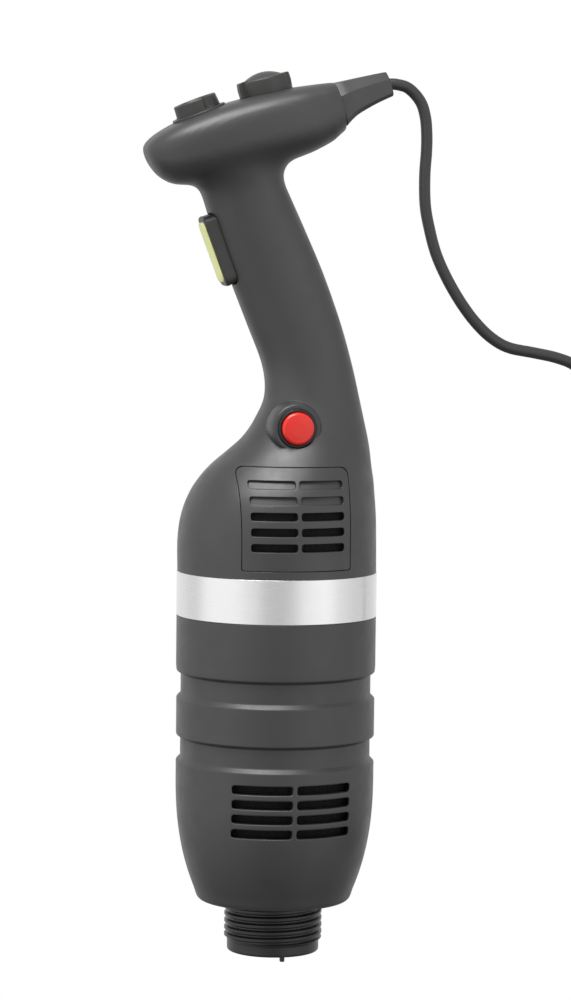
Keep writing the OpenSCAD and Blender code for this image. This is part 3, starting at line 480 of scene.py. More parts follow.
class NodeTree:
    """Short calls for building a node tree."""

    def __init__(self, tree):
        self.tree = tree

    def add(self, kind, **settings):
        node = self.tree.nodes.new(kind)
        for key, value in settings.items():
            setattr(node, key, value)
        return node

    def link(self, source, target):
        self.tree.links.new(source, target)

    def spread(self, source, low, high, start=0.3, end=0.7):
        """Maps source from start..end to low..high."""
        ranged = self.add("ShaderNodeMapRange")
        for key, value in (("From Min", start), ("From Max", end), ("To Min", low), ("To Max", high)):
            ranged.inputs[key].default_value = value
        self.link(source, ranged.inputs["Value"])
        return ranged.outputs["Result"]

    def mixed(self, factor, first, second):
        """Colour between first and second, each a colour or a socket."""
        mix = self.add("ShaderNodeMix", data_type="RGBA")
        self.link(factor, mix.inputs[0])
        for value, socket in ((first, mix.inputs[6]), (second, mix.inputs[7])):
            if isinstance(value, bpy.types.NodeSocket):
                self.link(value, socket)
            else:
                socket.default_value = (*value, 1)
        return mix.outputs[2]

    def math(self, operation, first, second):
        node = self.add("ShaderNodeMath", operation=operation)
        for value, socket in ((first, node.inputs[0]), (second, node.inputs[1])):
            if isinstance(value, bpy.types.NodeSocket):
                self.link(value, socket)
            else:
                socket.default_value = value
        return node.outputs[0]


class Material(NodeTree):
    """One material's node tree, round its principled shader."""

    def __init__(self, name):
        self.material = bpy.data.materials.new(name)
        self.material.use_nodes = True
        super().__init__(self.material.node_tree)
        self.shader = self.tree.nodes["Principled BSDF"]
        self.coords = self.add("ShaderNodeTexCoord").outputs["Object"]

    def noise(self, size, detail=3.0, stretch=(1, 1, 1), roughness=0.55):
        """Noise whose features are size millimetres wide; stretch lengthens them along an axis."""
        mapping = self.add("ShaderNodeMapping")
        mapping.inputs["Scale"].default_value = [1 / s for s in stretch]
        self.link(self.coords, mapping.inputs["Vector"])
        noise = self.add("ShaderNodeTexNoise")
        noise.inputs["Scale"].default_value = 1 / (size * MM)
        noise.inputs["Detail"].default_value = detail
        noise.inputs["Roughness"].default_value = roughness
        self.link(mapping.outputs["Vector"], noise.inputs["Vector"])
        return noise.outputs["Fac"]

    def ripples(self, axis, pitch):
        """Sine wave along an axis, once every pitch millimetres."""
        split = self.add("ShaderNodeSeparateXYZ")
        self.link(self.coords, split.inputs[0])
        wave = self.add("ShaderNodeMath", operation="SINE")
        self.link(self.math("MULTIPLY", split.outputs[axis], 2 * math.pi / (pitch * MM)), wave.inputs[0])
        return wave.outputs[0]

    def rounded_normal(self, radius):
        """Normal of the surface with its edges rounded off by radius millimetres."""
        bevel = self.add("ShaderNodeBevel", samples=4)
        bevel.inputs["Radius"].default_value = radius * MM
        return bevel.outputs["Normal"]

    def edges(self, normal):
        """1 on edges and corners, 0 on open surfaces."""
        geometry = self.add("ShaderNodeNewGeometry")
        dot = self.add("ShaderNodeVectorMath", operation="DOT_PRODUCT")
        self.link(normal, dot.inputs[0])
        self.link(geometry.outputs["Normal"], dot.inputs[1])
        return self.spread(dot.outputs["Value"], 1.0, 0.0, 0.86, 0.995)

    def bump(self, height, depth, normal=None):
        bump = self.add("ShaderNodeBump")
        bump.inputs["Strength"].default_value = 1.0
        bump.inputs["Distance"].default_value = depth * MM
        self.link(height, bump.inputs["Height"])
        if normal is not None:
            self.link(normal, bump.inputs["Normal"])
        return bump.outputs["Normal"]

    def surface(self, colour, roughness, normal, **constants):
        """Joins the three sockets to the shader and sets its other values; returns the material."""
        for socket, key in ((colour, "Base Color"), (roughness, "Roughness"), (normal, "Normal")):
            self.link(socket, self.shader.inputs[key])
        for key, value in constants.items():
            self.shader.inputs[SHADER_NAMES[key]].default_value = value
        return self.material


def scaled(colour, factor):
    return tuple(min(c * factor, 1.0) for c in colour)


def moulded(name, colour, roughness, grain=0.35, grain_depth=0.018, edge=0.4, wear_and_highlight=0.35,
            mottle=0.05, specular=0.5, **coat):
    """Moulded plastic with a spark-eroded grain, slow mottling and edges polished by handling; the edges'
    lighter colour is partly wear and partly a painted highlight.
    """
    n = Material(name)
    rounded = n.rounded_normal(edge)
    slow = n.noise(28, 4)
    wear_and_highlight_mask = n.math("MULTIPLY", n.edges(rounded), n.spread(n.noise(5, 3), 0.2, 1.0))
    base = n.mixed(n.spread(slow, 0, 1), scaled(colour, 1 - mottle), scaled(colour, 1 + mottle))
    # Edges are lightened up to 1.9 times in colour: wear on handled edges, and a painted highlight along
    # edges where the share is large, as on the thread's crests.
    wear_and_highlight_colour = n.mixed(n.math("MULTIPLY", wear_and_highlight_mask, wear_and_highlight), base, scaled(colour, 1.9))
    patches = n.spread(n.noise(9, 4), roughness - 0.05, roughness + 0.05)
    polished = n.math("SUBTRACT", patches, n.math("MULTIPLY", wear_and_highlight_mask, 0.12))
    return n.surface(wear_and_highlight_colour, polished, n.bump(n.noise(grain, 2), grain_depth, rounded),
                     specular=specular, **coat)


def brushed(name, colour, roughness, stretch, line=0.12, depth=0.004, edge=0.3, anisotropic=0.0):
    """Metal with fine brush lines; stretch lengthens the lines along an axis."""
    n = Material(name)
    rounded = n.rounded_normal(edge)
    lines = n.noise(line, 2, stretch)
    smudge = n.spread(n.noise(18, 4), roughness - 0.03, roughness + 0.05)
    return n.surface(n.mixed(n.spread(lines, 0, 1, 0.35, 0.65), scaled(colour, 0.94), colour),
                     n.math("ADD", n.spread(lines, -0.04, 0.05), smudge),
                     n.bump(lines, depth, rounded), metallic=1.0, anisotropic=anisotropic)


def cast(name, colour, roughness, grain=0.8, depth=0.03):
    """Cast, ground or pressed metal with a faint irregular surface."""
    n = Material(name)
    rounded = n.rounded_normal(0.25)
    rough = n.noise(grain, 4)
    return n.surface(n.mixed(n.spread(n.noise(11, 5), 0, 1), scaled(colour, 0.82), colour),
                     n.spread(rough, roughness - 0.07, roughness + 0.08),
                     n.bump(rough, depth, rounded), metallic=1.0)


def layered(name, colour, pitch, roughness=0.45):
    """Stacked electrical steel: thin sheets across the motor axis."""
    n = Material(name)
    joint = n.spread(n.ripples("Z", pitch), 0, 1, -1, -0.6)
    stain = n.spread(n.noise(7, 4), 0.0, 0.5)
    return n.surface(n.mixed(stain, colour, scaled(colour, 0.55)),
                     n.spread(n.noise(2, 3), roughness - 0.08, roughness + 0.1),
                     n.bump(joint, 0.15), metallic=1.0)


def wound(name, colour, wire=0.8):
    """Enamelled copper windings: fine parallel wires under a thin varnish."""
    n = Material(name)
    wires = n.noise(wire, 2, (1, 1, 9))
    return n.surface(n.mixed(n.spread(n.noise(6, 3), 0, 1), scaled(colour, 0.6), colour),
                     n.spread(wires, 0.22, 0.4), n.bump(wires, 0.25), metallic=0.85, coat=0.4)


def board_material(name, colour):
    """Solder mask with faint copper tracks under it."""
    n = Material(name)
    tracks = n.add("ShaderNodeTexVoronoi", feature="DISTANCE_TO_EDGE", distance="MANHATTAN")
    tracks.inputs["Scale"].default_value = 1 / (5 * MM)
    n.link(n.coords, tracks.inputs["Vector"])
    track = n.spread(tracks.outputs["Distance"], 1, 0, 0.05, 0.09)
    return n.surface(n.mixed(track, colour, scaled(colour, 1.8)),
                     n.spread(n.noise(4, 3), 0.28, 0.42), n.bump(track, 0.04))


def woven(name, colour, pitch):
    """Fine square mesh."""
    n = Material(name)
    height = n.math("MAXIMUM", n.ripples("X", pitch), n.ripples("Z", pitch))
    return n.surface(n.mixed(n.spread(height, 0, 1, 0.2, 0.8), scaled(colour, 0.2), colour),
                     n.spread(n.noise(3, 2), 0.5, 0.65), n.bump(height, 0.15), specular=0.2)


HOUSING_GREY = (0.031, 0.031, 0.0312)
MATERIALS = {
    "housing": moulded("housing_plastic", HOUSING_GREY, 0.44, specular=0.75),
    "controls": moulded("control_plastic", (0.036, 0.035, 0.034), 0.42, grain=0.25, grain_depth=0.01),
    "band": brushed("band_steel", (0.83, 0.83, 0.84), 0.22, (60, 60, 1), anisotropic=0.35),
    # The collar's thread takes the full edge lightening: a painted highlight along its crests.
    "thread": moulded("thread_nylon", (0.012, 0.012, 0.0122), 0.34, grain=0.6, grain_depth=0.01, wear_and_highlight=1.0),
    "black_plastic": moulded("black_plastic", (0.012, 0.012, 0.013), 0.4, grain=0.3, grain_depth=0.01),
    "red_cap": moulded("red_plastic", (0.74, 0.014, 0.006), 0.3, grain=1.2, grain_depth=0.004,
                       wear_and_highlight=0.1, mottle=0.03, coat=0.3, coat_roughness=0.12),
    "lime_insert": moulded("lime_elastomer", (0.95, 1.0, 0.42), 0.42, grain=0.3, grain_depth=0.008,
                           wear_and_highlight=0.15, mottle=0.03),
    "cord_pvc": moulded("cord_sheath", (0.035, 0.035, 0.036), 0.42, grain=0.5, grain_depth=0.02, edge=0.1),
    "seal_rubber": moulded("seal_rubber", (0.015, 0.015, 0.015), 0.55),
    "zinc_screw": cast("zinc_plate", (0.58, 0.58, 0.6), 0.33),
    "shaft_steel": brushed("shaft_steel", (0.62, 0.62, 0.64), 0.26, (12, 12, 1)),
    "bearing_steel": brushed("bearing_steel", (0.7, 0.7, 0.72), 0.18, (20, 20, 1), depth=0.002),
    "lamination": layered("electrical_steel", (0.33, 0.33, 0.35), 0.5),
    "copper": wound("copper_windings", (0.72, 0.3, 0.13)),
    "brass": cast("brass", (0.78, 0.55, 0.24), 0.3),
    "die_cast": cast("die_cast_aluminium", (0.55, 0.55, 0.57), 0.45, grain=1.4, depth=0.06),
    "spring_steel": cast("spring_steel", (0.5, 0.5, 0.52), 0.25, grain=0.3, depth=0.005),
    "carbon": moulded("carbon_brush", (0.025, 0.025, 0.026), 0.5, grain=0.4, grain_depth=0.03),
    "pcb": board_material("solder_mask", (0.02, 0.12, 0.05)),
    "white_nylon": moulded("natural_nylon", (0.7, 0.69, 0.62), 0.45),
    "fan_plastic": moulded("fan_nylon", (0.04, 0.04, 0.042), 0.4),
    # Near-black screen behind the vents: painted shade for the dark inside of the slots.
    "screen": woven("vent_shade_mesh", (0.012, 0.012, 0.012), 0.9),
}


def finish_cad_nodes():
    """Gives every CAD node that stays its slot's material."""
    for row in frame["record"]["subparts"]:
        node = frame["nodes"][row["node"]]
        slot = row["material_slot"]
        node.data.materials.clear()
        node.data.materials.append(MATERIALS[slot])


finish_cad_nodes()


# ---------------------------------------------------------------- mains lead

def coil_route():
    """Three turns side by side and two in the hollows above them, then up to where the plug leaves."""
    low = REST_Z + COIL_LIFT + CORD_D / 2
    slots = [(COIL_MID_R + CORD_D, low), (COIL_MID_R, low), (COIL_MID_R - CORD_D, low),
             (COIL_MID_R - CORD_D / 2, low + COIL_RISE), (COIL_MID_R + CORD_D / 2, low + COIL_RISE),
             (COIL_MID_R, low + 2 * COIL_RISE)]
    shifts = (320, 320, 280, 240, 200)   # where each turn starts to change place, in degrees
    shift_len, step, hump = 40, 10, 0.9
    route = []
    for turn, shift in enumerate(shifts):
        for angle in range(step, 361, step):
            along = (angle - shift) / shift_len
            climbing = slots[turn + 1][1] > slots[turn][1] + 1
            r = slots[turn][0] + (slots[turn + 1][0] - slots[turn][0]) * ease(along)
            hurry = 1.6 if climbing else 1
            z = slots[turn][1] + (slots[turn + 1][1] - slots[turn][1]) * ease(along * hurry)
            over = [320] * (turn >= 2) + [240] * (turn >= 3) + [240] * (turn == 4)
            z += sum(hump * math.sin(math.pi * min(max((angle - s) / shift_len, 0), 1)) for s in over)
            a = math.radians(180 + angle)
            route.append((COIL_X + r * math.cos(a), r * math.sin(a), z))
    return route


def make_cord():
    points = smooth(CORD_ROUTE, 6) + coil_route()
    points += smooth((points[-1], *PLUG_ROUTE), 5)[1:]
    curve = bpy.data.curves.new("mains_lead", "CURVE")
    curve.dimensions = "3D"
    curve.bevel_depth = CORD_D / 2 * MM
    curve.bevel_resolution = 7
    curve.use_fill_caps = True
    spline = curve.splines.new("POLY")
    spline.points.add(len(points) - 1)
    for spot, p in zip(spline.points, points):
        spot.co = (*(c * MM for c in p), 1)
    lead = linked(bpy.data.objects.new("mains_lead", curve))
    piece(lead, "mains_lead", "housing", "cord_pvc", "mains_cord", "cord_coil")
    length = sum((Vector(b) - Vector(a)).length for a, b in zip(points, points[1:])) * MM
    return lead, length


def coil_outline(grow):
    """Outline of the coil's section, (radius, height) with corner radii."""
    r = CORD_D / 2
    inner, outer = COIL_MID_R - CORD_D - r - grow, COIL_MID_R + CORD_D + r + grow
    low = REST_Z + COIL_LIFT - grow
    shoulder, top = low + CORD_D + grow, low + CORD_D + COIL_RISE + 2 * grow
    return round_corners([(inner, low, 2), (outer, low, 2), (outer, shoulder, 2.5), (outer - r, top, 2.5),
                          (inner + r, top, 2.5), (inner, shoulder, 2.5)], 4)


def make_tie():
    """Flat strap round the coil."""
    middle, half_w, edge = -90.0, 7.0, 0.7
    rings = []
    for share, grow in ((-1, 0.1), (-1, COIL_LIFT - 0.25), (-1 + edge / half_w, COIL_LIFT),
                        (1 - edge / half_w, COIL_LIFT), (1, COIL_LIFT - 0.25), (1, 0.1)):
        rings.append(around(coil_outline(grow), math.radians(middle + share * half_w), COIL_X))
    tie = shade(loft("cord_strap", rings, closed=True), 50)
    return piece(tie, "cord_strap", "housing", "black_plastic", "cord_tie")


def make_plug():
    """Two-pin plug: moulded body with grip ribs, a tapered tail and round pins."""
    body = loft("plug_moulding", [
        [(x * s, y * s * t, z) for x, y in rounded_box(17, 13, 8.5)]
        for z, s, t in ((11, 0.33, 1.2), (11.6, 0.42, 1.1), (13, 0.62, 1.0), (16, 0.86, 0.95),
                        (20, 0.97, 0.95), (26, 1.0, 0.97), (38, 1.0, 1.0), (44.6, 0.99, 1.0),
                        (45.5, 0.95, 0.98))],
        AT_PLUG)
    ribs = []
    for side in (-1, 1):
        for k in range(5):
            z = 19.5 + k * 3.6
            ribs.append(prism("rib", rounded_box(0.55, 8.0, 0.5), -0.6, 0.6,
                              AT_PLUG @ Matrix.Translation((side * 17.1, 0, z)) @ turned(90, "Y")))
    carve(body, joined(ribs))
    shade(body, 40)
    tail_outline = [(0.0, -0.5, 0), (5.0, -0.5, 0.8), (5.3, 6, 0), (6.5, 12.4, 0), (0, 12.4, 0)]
    tail = lathe("plug_tail", round_corners(tail_outline), 48, AT_PLUG)
    cuts = []
    for z in (2.2, 4.6, 7.0, 9.4):
        low, high = z - 0.5, z + 0.5
        outline = round_corners([(4.4, low, 0.2), (8, low, 0), (8, high, 0), (4.4, high, 0.2)])
        cuts.append(lathe("tail_groove", outline, 48, AT_PLUG))
    carve(tail, joined(cuts))
    shade(tail, 40)
    plug = piece(joined([body, tail]), "plug_moulding", "housing", "black_plastic", "plug_body")
    pins = []
    pin_r, root, tip = 2.4, 45.2, 64.5
    for x in (-9.5, 9.5):
        outline = [(0, root, 0), (pin_r, root, 0), (pin_r, tip, 1.8), (0, tip, 0)]
        pins.append(lathe("pin", round_corners(outline, 8), 40,
                          AT_PLUG @ Matrix.Translation((x, 0, 0))))
    pin_pair = shade(joined(pins), 40)
    piece(pin_pair, "plug_contacts", "housing", "shaft_steel", "plug_pins")
    return plug, pin_pair


lead, lead_length = make_cord()
tie = make_tie()
plug, contacts = make_plug()


# ---------------------------------------------------------------- upper housing

VOXEL = 1.3
FILLET_REACH = 12.0            # how far from the join of grip and head the fillet works
FILLET_PASSES = 90


def tree_of(obj):
    mesh = obj.data
    return BVHTree.FromPolygons([v.co for v in mesh.vertices], [tuple(p.vertices) for p in mesh.polygons])


def fused(lofts):
    """One skin round overlapping solids: exact where only one is near, filleted where they meet."""
    trees = [tree_of(o) for o in lofts]
    skin = joined(lofts)
    remesh = skin.modifiers.new("remesh", "REMESH")
    remesh.mode = "VOXEL"
    remesh.voxel_size = VOXEL * MM
    bake(skin)
    exact, shares = [], []
    for v in skin.data.vertices:
        hits = sorted((t.find_nearest(v.co) for t in trees), key=lambda hit: hit[3])
        exact.append(hits[0][0])
        shares.append(1 - ease(hits[-1][3] / (FILLET_REACH * MM)))
    group = skin.vertex_groups.new(name="join")
    for i, share in enumerate(shares):
        if share > 0.001:
            group.add([i], share, "REPLACE")
    soften = skin.modifiers.new("fillet", "SMOOTH")
    soften.factor = 0.5
    soften.iterations = FILLET_PASSES
    soften.vertex_group = "join"
    bake(skin)
    for v, spot, share in zip(skin.data.vertices, exact, shares):
        v.co = v.co * share + spot * (1 - share)
    skin.vertex_groups.clear()
    return skin


SLOT_END_SQUARENESS = 3.2
SLOT_END_STEPS = 6             # steps in each quarter of a slot's round end


def stadium(start, end, z, half_h, grow, straight=9):
    """Slot outline with round ends, grown by grow, as (x, z) points."""
    ends = SLOT_END_STEPS
    r = half_h + grow
    left, right = start + half_h, end - half_h
    turns = [super_corner(math.pi * k / (2 * ends) - math.pi / 2, SLOT_END_SQUARENESS)
             for k in range(2 * ends)]
    points = [(left + (right - left) * k / straight, z - r) for k in range(straight)]
    points += [(right + r * c, z + r * s) for c, s in turns]
    points += [(right - (right - left) * k / straight, z + r) for k in range(straight)]
    points += [(left - r * c, z - r * s) for c, s in turns]
    return points


def lipped_slot(start, end, z, half_h, side, surface, lip, depth):
    """Cutter for a slot through a curved wall, whose mouth is rounded where it meets the surface.
    surface gives the wall's half width at (x, z), and the cutter ends depth millimetres below it."""
    levels = [(lip + 0.5, -3.0), (lip, 0.0)]
    levels += [(lip * (1 - math.sin(a)), lip * (1 - math.cos(a)))
               for a in (math.radians(d) for d in (30, 60, 90))]
    levels.append((0, depth))
    verts, faces = [], []
    for grow, inward in levels:
        outline = stadium(start, end, z, half_h, grow)
        verts += [(x, side * (surface(x, h) - inward), h) for x, h in outline]
    count = len(outline)
    for base in range(0, len(verts) - count, count):
        faces += [(base + k, base + (k + 1) % count, base + count + (k + 1) % count, base + count + k)
                  for k in range(count)]
    # both ends are closed by strips between the lower and the upper edge, so they curve like the wall
    right_tip = count // 2 - SLOT_END_STEPS
    for base in (0, len(verts) - count):
        for k in range(right_tip - count // 2, right_tip):
            above = 2 * right_tip - k
            strip = [k % count, (k + 1) % count, (above - 1) % count, above % count]
            faces.append([base + v for v in dict.fromkeys(strip)])
    return made("slot", verts, faces)


def panel_outline(draw_in):
    """Outline of a shoulder panel as (x, z), draw_in inside its opening."""
    half, low, high = PANEL["half_w"] - draw_in, PANEL["low"] + draw_in, PANEL["high"] - draw_in
    mid = PANEL["mid"]
    return round_corners([(mid + half, low, PANEL["low_r"]), (mid + half, high, PANEL["top_r"]),
                          (mid - half, high, PANEL["top_r"]), (mid - half, low, PANEL["low_r"])], 8)


def panel_block(side, draw_in):
    low, high = sorted((side * 12, side * 53))
    return loft("panel_block", [[(x, y, z) for x, z in panel_outline(draw_in)] for y in (low, high)])


def cavity():
    """Inside of the upper housing, with its screw posts left standing."""
    rows = [row for row in BODY_SECTIONS if 190 < row[0] < 402]
    rows[0] = (180, *rows[0][1:])
    inner = loft("cavity", [body_ring(row, 64, SHELL_WALL) for row in smooth(rows, 3)])
    head_rings = [head_ring(row, 48, SHELL_WALL) for row in HEAD_SECTIONS if -69 < row[0] < 28]
    carve(inner, loft("head_cavity", head_rings, IN_HEAD), "UNION")
    posts = []
    for x, z in SCREW_SPOTS:
        across = Matrix.Translation((x, 0, z)) @ turned(90, "X")
        posts.append(prism("post", circle(4.8, 32), -60, 60, across))
    carve(inner, joined(posts))
    return inner


def screw_recess(x, z):
    """Recess of a housing screw on the far side, widening outwards."""
    rings = []
    for y, r in ((SCREW_SEAT_Y, 3.6), (52, 4.2)):
        rings.append([(x + a, y, z + b) for a, b in circle(r, 32)])
    return loft("recess", rings)


def housing_openings():
    """What is cut out of the upper housing's wall, as two lists: the second's tools cross the first's."""
    holes = [
        block("below", (-80, -80, 150), (80, 80, HOUSING_Z)),
        block("behind", (HEAD_END, -40, -40), (HEAD_END + 20, 40, 40), IN_HEAD),
        prism("lock_hole", circle(LOCK_RING_R + 0.15), -14, 8, AT_LOCK),
        prism("push_well", circle(12.8), -12, 0.2, AT_PUSH),
        prism("dial_well", circle(4.7, 32), -8, 0.2, AT_DIAL),
        loft("relief_hole", [relief_ring(s, 11.5, -7.9, 14.1) for s in (24, HEAD_END + 2)], IN_HEAD)]
    seats = [
        prism("push_seat", circle(PUSH_BEZEL_R + 0.15), -1.6, 6, AT_PUSH),
        prism("dial_seat", circle(DIAL_R + 0.45), DIAL_SKIRT_Z - 0.3, 6, AT_DIAL),
        prism("trigger_hole", rounded_box(TRIGGER_LEN / 2 + 0.45, TRIGGER_W / 2 + 0.45, 5.4), -16, 6,
              AT_TRIGGER)]
    return holes, seats + [screw_recess(x, z) for x, z in SCREW_SPOTS]


def make_housing():
    """Both half shells, cut from one hollow skin."""
    body = loft("body", [body_ring(row, 144) for row in smooth(BODY_SECTIONS, 8)])
    head_rings = [head_ring(row, 128, 0, HEAD_TOP_SQUARER) for row in smooth(HEAD_SECTIONS, 8)]
    head = loft("head", head_rings, IN_HEAD)
    skin = fused([body, head])
    boss_rings = [[(x, y, z) for x, y in circle(BOSS_R + grow, 96)] for grow, z in BOSS_EDGE]
    carve(skin, loft("boss", boss_rings, AT_LOCK), "UNION")
    carve(skin, cavity())
    for tools in housing_openings():
        carve(skin, joined(tools))
    for side in (-1, 1):
        carve(skin, panel_block(side, 0))
    welded(skin)
    for side, name, node in ((-1, "near_shell", "shell_near"), (1, "far_shell", "shell_far")):
        half = copied(skin, name)
        low, high = sorted((-side * 0.05, -side * 90))
        carve(half, block("other_side", (-100, low, 150), (100, high, 480)), solver="MANIFOLD")
        shade(half, 34)
        piece(half, name, "housing", "housing", node)
    bpy.data.objects.remove(skin)


def make_panels():
    """Louvre panels let into the shoulder."""
    for side, name, node in ((-1, "near_louvre", "inlet_panel_near"), (1, "far_louvre", "inlet_panel_far")):
        rows = [row for row in smooth(BODY_SECTIONS, 6) if 190 < row[0] < 256]
        panel = loft(name, [body_ring(row, 288, 0.12) for row in rows])
        carve(panel, loft("hollow", [body_ring(row, 144, SHELL_WALL) for row in rows]))
        carve(panel, panel_block(side, PANEL_GAP), "INTERSECT")
        tools = []
        for row in range(INLET["rows"]):
            z = INLET["low"] + row * INLET["pitch"]
            depth = 12 if row < OPEN_INLET_ROWS else 1.9
            for start, end in INLET["spans"]:
                tools.append(lipped_slot(start, end, z, INLET["h"] / 2, side, body_y, 0.5, depth))
        carve(panel, joined(tools))
        shade(panel, 34)
        piece(panel, name, "housing", "housing", node)


def make_screen(name, side, surface, half_w, low, high, inset):
    """Dark woven screen that follows the inside of a vented wall, inset millimetres behind its outside. Its
    near-black colour is painted shade, keeping the slots black as the shade inside them would.
    """
    across, up, thickness = 28, 10, 0.4
    layers = []
    for depth in (inset, inset + thickness):
        for k in range(up + 1):
            z = low + (high - low) * k / up
            for i in range(across + 1):
                x = half_w * (2 * i / across - 1)
                layers.append((x, side * (surface(x, z) - depth), z))
    row, layer = across + 1, (across + 1) * (up + 1)
    faces = []
    for k in range(up):
        for i in range(across):
            a = k * row + i
            faces.append((a, a + 1, a + row + 1, a + row))
            faces.append(tuple(layer + v for v in (a, a + row, a + row + 1, a + 1)))
    rim = list(range(across)) + [k * row + across for k in range(up)]
    rim += [up * row + across - i for i in range(across)] + [(up - k) * row for k in range(up)]
    for a, b in zip(rim, rim[1:] + rim[:1]):
        faces.append((a, a + layer, b + layer, b))
    screen = shade(made(name, layers, faces), 40)
    piece(screen, name, "housing", "black_plastic", material="screen")


def make_inlet_screens():
    low, high = PANEL["low"] + 5, INLET["low"] + (OPEN_INLET_ROWS - 0.4) * INLET["pitch"]
    for side, name in ((-1, "near_inlet_screen"), (1, "far_inlet_screen")):
        make_screen(name, side, body_y, INLET["half_w"] + 1.5, low, high, SHELL_WALL + 0.3)


make_housing()
make_panels()
make_inlet_screens()


# ---------------------------------------------------------------- barrel, band and collar

def groove(z, width):
    """Corners of one grip groove, from its lower edge up."""
    floor_r = LOW_R - GROOVE_DEPTH
    return [(LOW_R, z - width / 2, 1.2), (floor_r, z - width / 2 + 2.2, 1.2),
            (floor_r, z + width / 2 - 1.4, 0.8), (LOW_R, z + width / 2, 1.0)]


def barrel_outline():
    edge_r = 4.5
    outside = [(bowl_r(BARREL_FLOOR_Z + 1.5), BARREL_FLOOR_Z, edge_r)]
    outside += [(bowl_r(z), z, 0) for z in range(int(BARREL_FLOOR_Z + edge_r) + 2, int(BOWL_TOP_Z), 2)]
    for middle, width in GROOVES:
        outside += groove(middle, width)
    top_groove_end = GROOVES[-1][0] + GROOVES[-1][1] / 2
    outside += [
        (BARREL_R, top_groove_end + 3, 0), (BARREL_R, BAND_Z - 0.05, 0.5),
        (BARREL_R - 1.2, BAND_Z - 0.05, 0),
        (BARREL_R - 1.2, HOUSING_Z - 0.3, 0), (NECK_R, HOUSING_Z - 0.3, 0)]
    low, high = NECK_GROOVE
    outside += [(NECK_R, low, 0), (NECK_R - NECK_GROOVE_DEPTH, low, 0),
                (NECK_R - NECK_GROOVE_DEPTH, high, 0), (NECK_R, high, 0), (NECK_R, NECK_TOP_Z, 0)]
    inside = [(BARREL_INSIDE_R, NECK_TOP_Z, 0), (BARREL_INSIDE_R, BRIDGE_TOP_Z, 0),
              (BRIDGE_SEAT_R, BRIDGE_TOP_Z, 0), (BRIDGE_SEAT_R, BRIDGE_Z, 0),
              (BARREL_INSIDE_R, BRIDGE_Z, 0), (BARREL_INSIDE_R, CORE_Z - 2, 0)]
    inside += [(bowl_r(z) - BARREL_WALL, z, 0) for z in range(89, int(SHIELD_Z), -5)]
    inner_foot = THREAD_D / 2 + 0.25
    inside += [(bowl_r(SHIELD_Z) - BARREL_WALL, SHIELD_Z, 0), (FLANGE_R + 0.5, SHIELD_Z, 0),
               (FLANGE_R + 0.5, FLOOR_TOP_Z, 0), (inner_foot, FLOOR_TOP_Z, 0),
               (inner_foot, BARREL_FLOOR_Z, 0.4)]
    return round_corners(outside + inside, 6)


def barrel_half_width(x, z):
    return math.sqrt(max(bowl_r(z) ** 2 - x * x, 1))


def make_barrel():
    barrel = lathe("motor_barrel", barrel_outline(), 224)
    tools = []
    for row in range(OUTLET["rows"]):
        z = OUTLET["low"] + row * OUTLET["pitch"]
        for side in (-1, 1):
            for start, end in OUTLET["spans"]:
                tools.append(lipped_slot(start, end, z, OUTLET["h"] / 2, side, barrel_half_width, 0.6, 12))
    carve(barrel, joined(tools))
    posts = []
    for k in range(4):
        spin = turned(45 + 90 * k, "Z")
        posts.append(prism("post", circle(4.2, 24, (POST_RING_R, 0)), CORE_Z, BRIDGE_Z - 0.4, spin))
        posts.append(prism("boss", circle(5.2, 24, (POST_RING_R, 0)), CORE_Z - 14, CORE_Z, spin))
    carve(barrel, joined(posts), "UNION", overlaps=True)
    shade(barrel, 32)
    piece(barrel, "motor_barrel", "housing", "housing", "barrel")


def make_outlet_screens():
    low, high = OUTLET["low"] - 4, OUTLET["low"] + (OUTLET["rows"] - 0.4) * OUTLET["pitch"]
    for side, name in ((-1, "near_outlet_screen"), (1, "far_outlet_screen")):
        make_screen(name, side, barrel_half_width, OUTLET["half_w"] + 1, low, high, BARREL_WALL + 2.2)


def make_band():
    """Steel strip round the barrel, its two ends meeting at the rear."""
    outer, inner, gap = BARREL_R + 0.1, BARREL_R - 1.1, math.radians(0.25)
    joint = math.radians(68)
    outline = round_corners([(outer, BAND_Z, 0.35), (outer, BAND_Z + BAND_H, 0.1),
                             (inner, BAND_Z + BAND_H, 0.1), (inner, BAND_Z, 0.1)], 4)
    count = 256
    sweep = 2 * math.pi - 2 * gap
    rings = [around(outline, joint + gap + sweep * k / count) for k in range(count + 1)]
    band = shade(loft("band", rings), 40)
    piece(band, "trim_band", "housing", "band", "steel_band")


# Corners of one thread turn as (depth share, height above the turn's start)
THREAD_PROFILE = ((0.0, 0.0), (0.2, 0.15), (0.95, 0.7), (1.0, 0.9), (1.0, 1.9), (0.95, 2.1), (0.2, 2.65),
                  (0.0, 2.8))


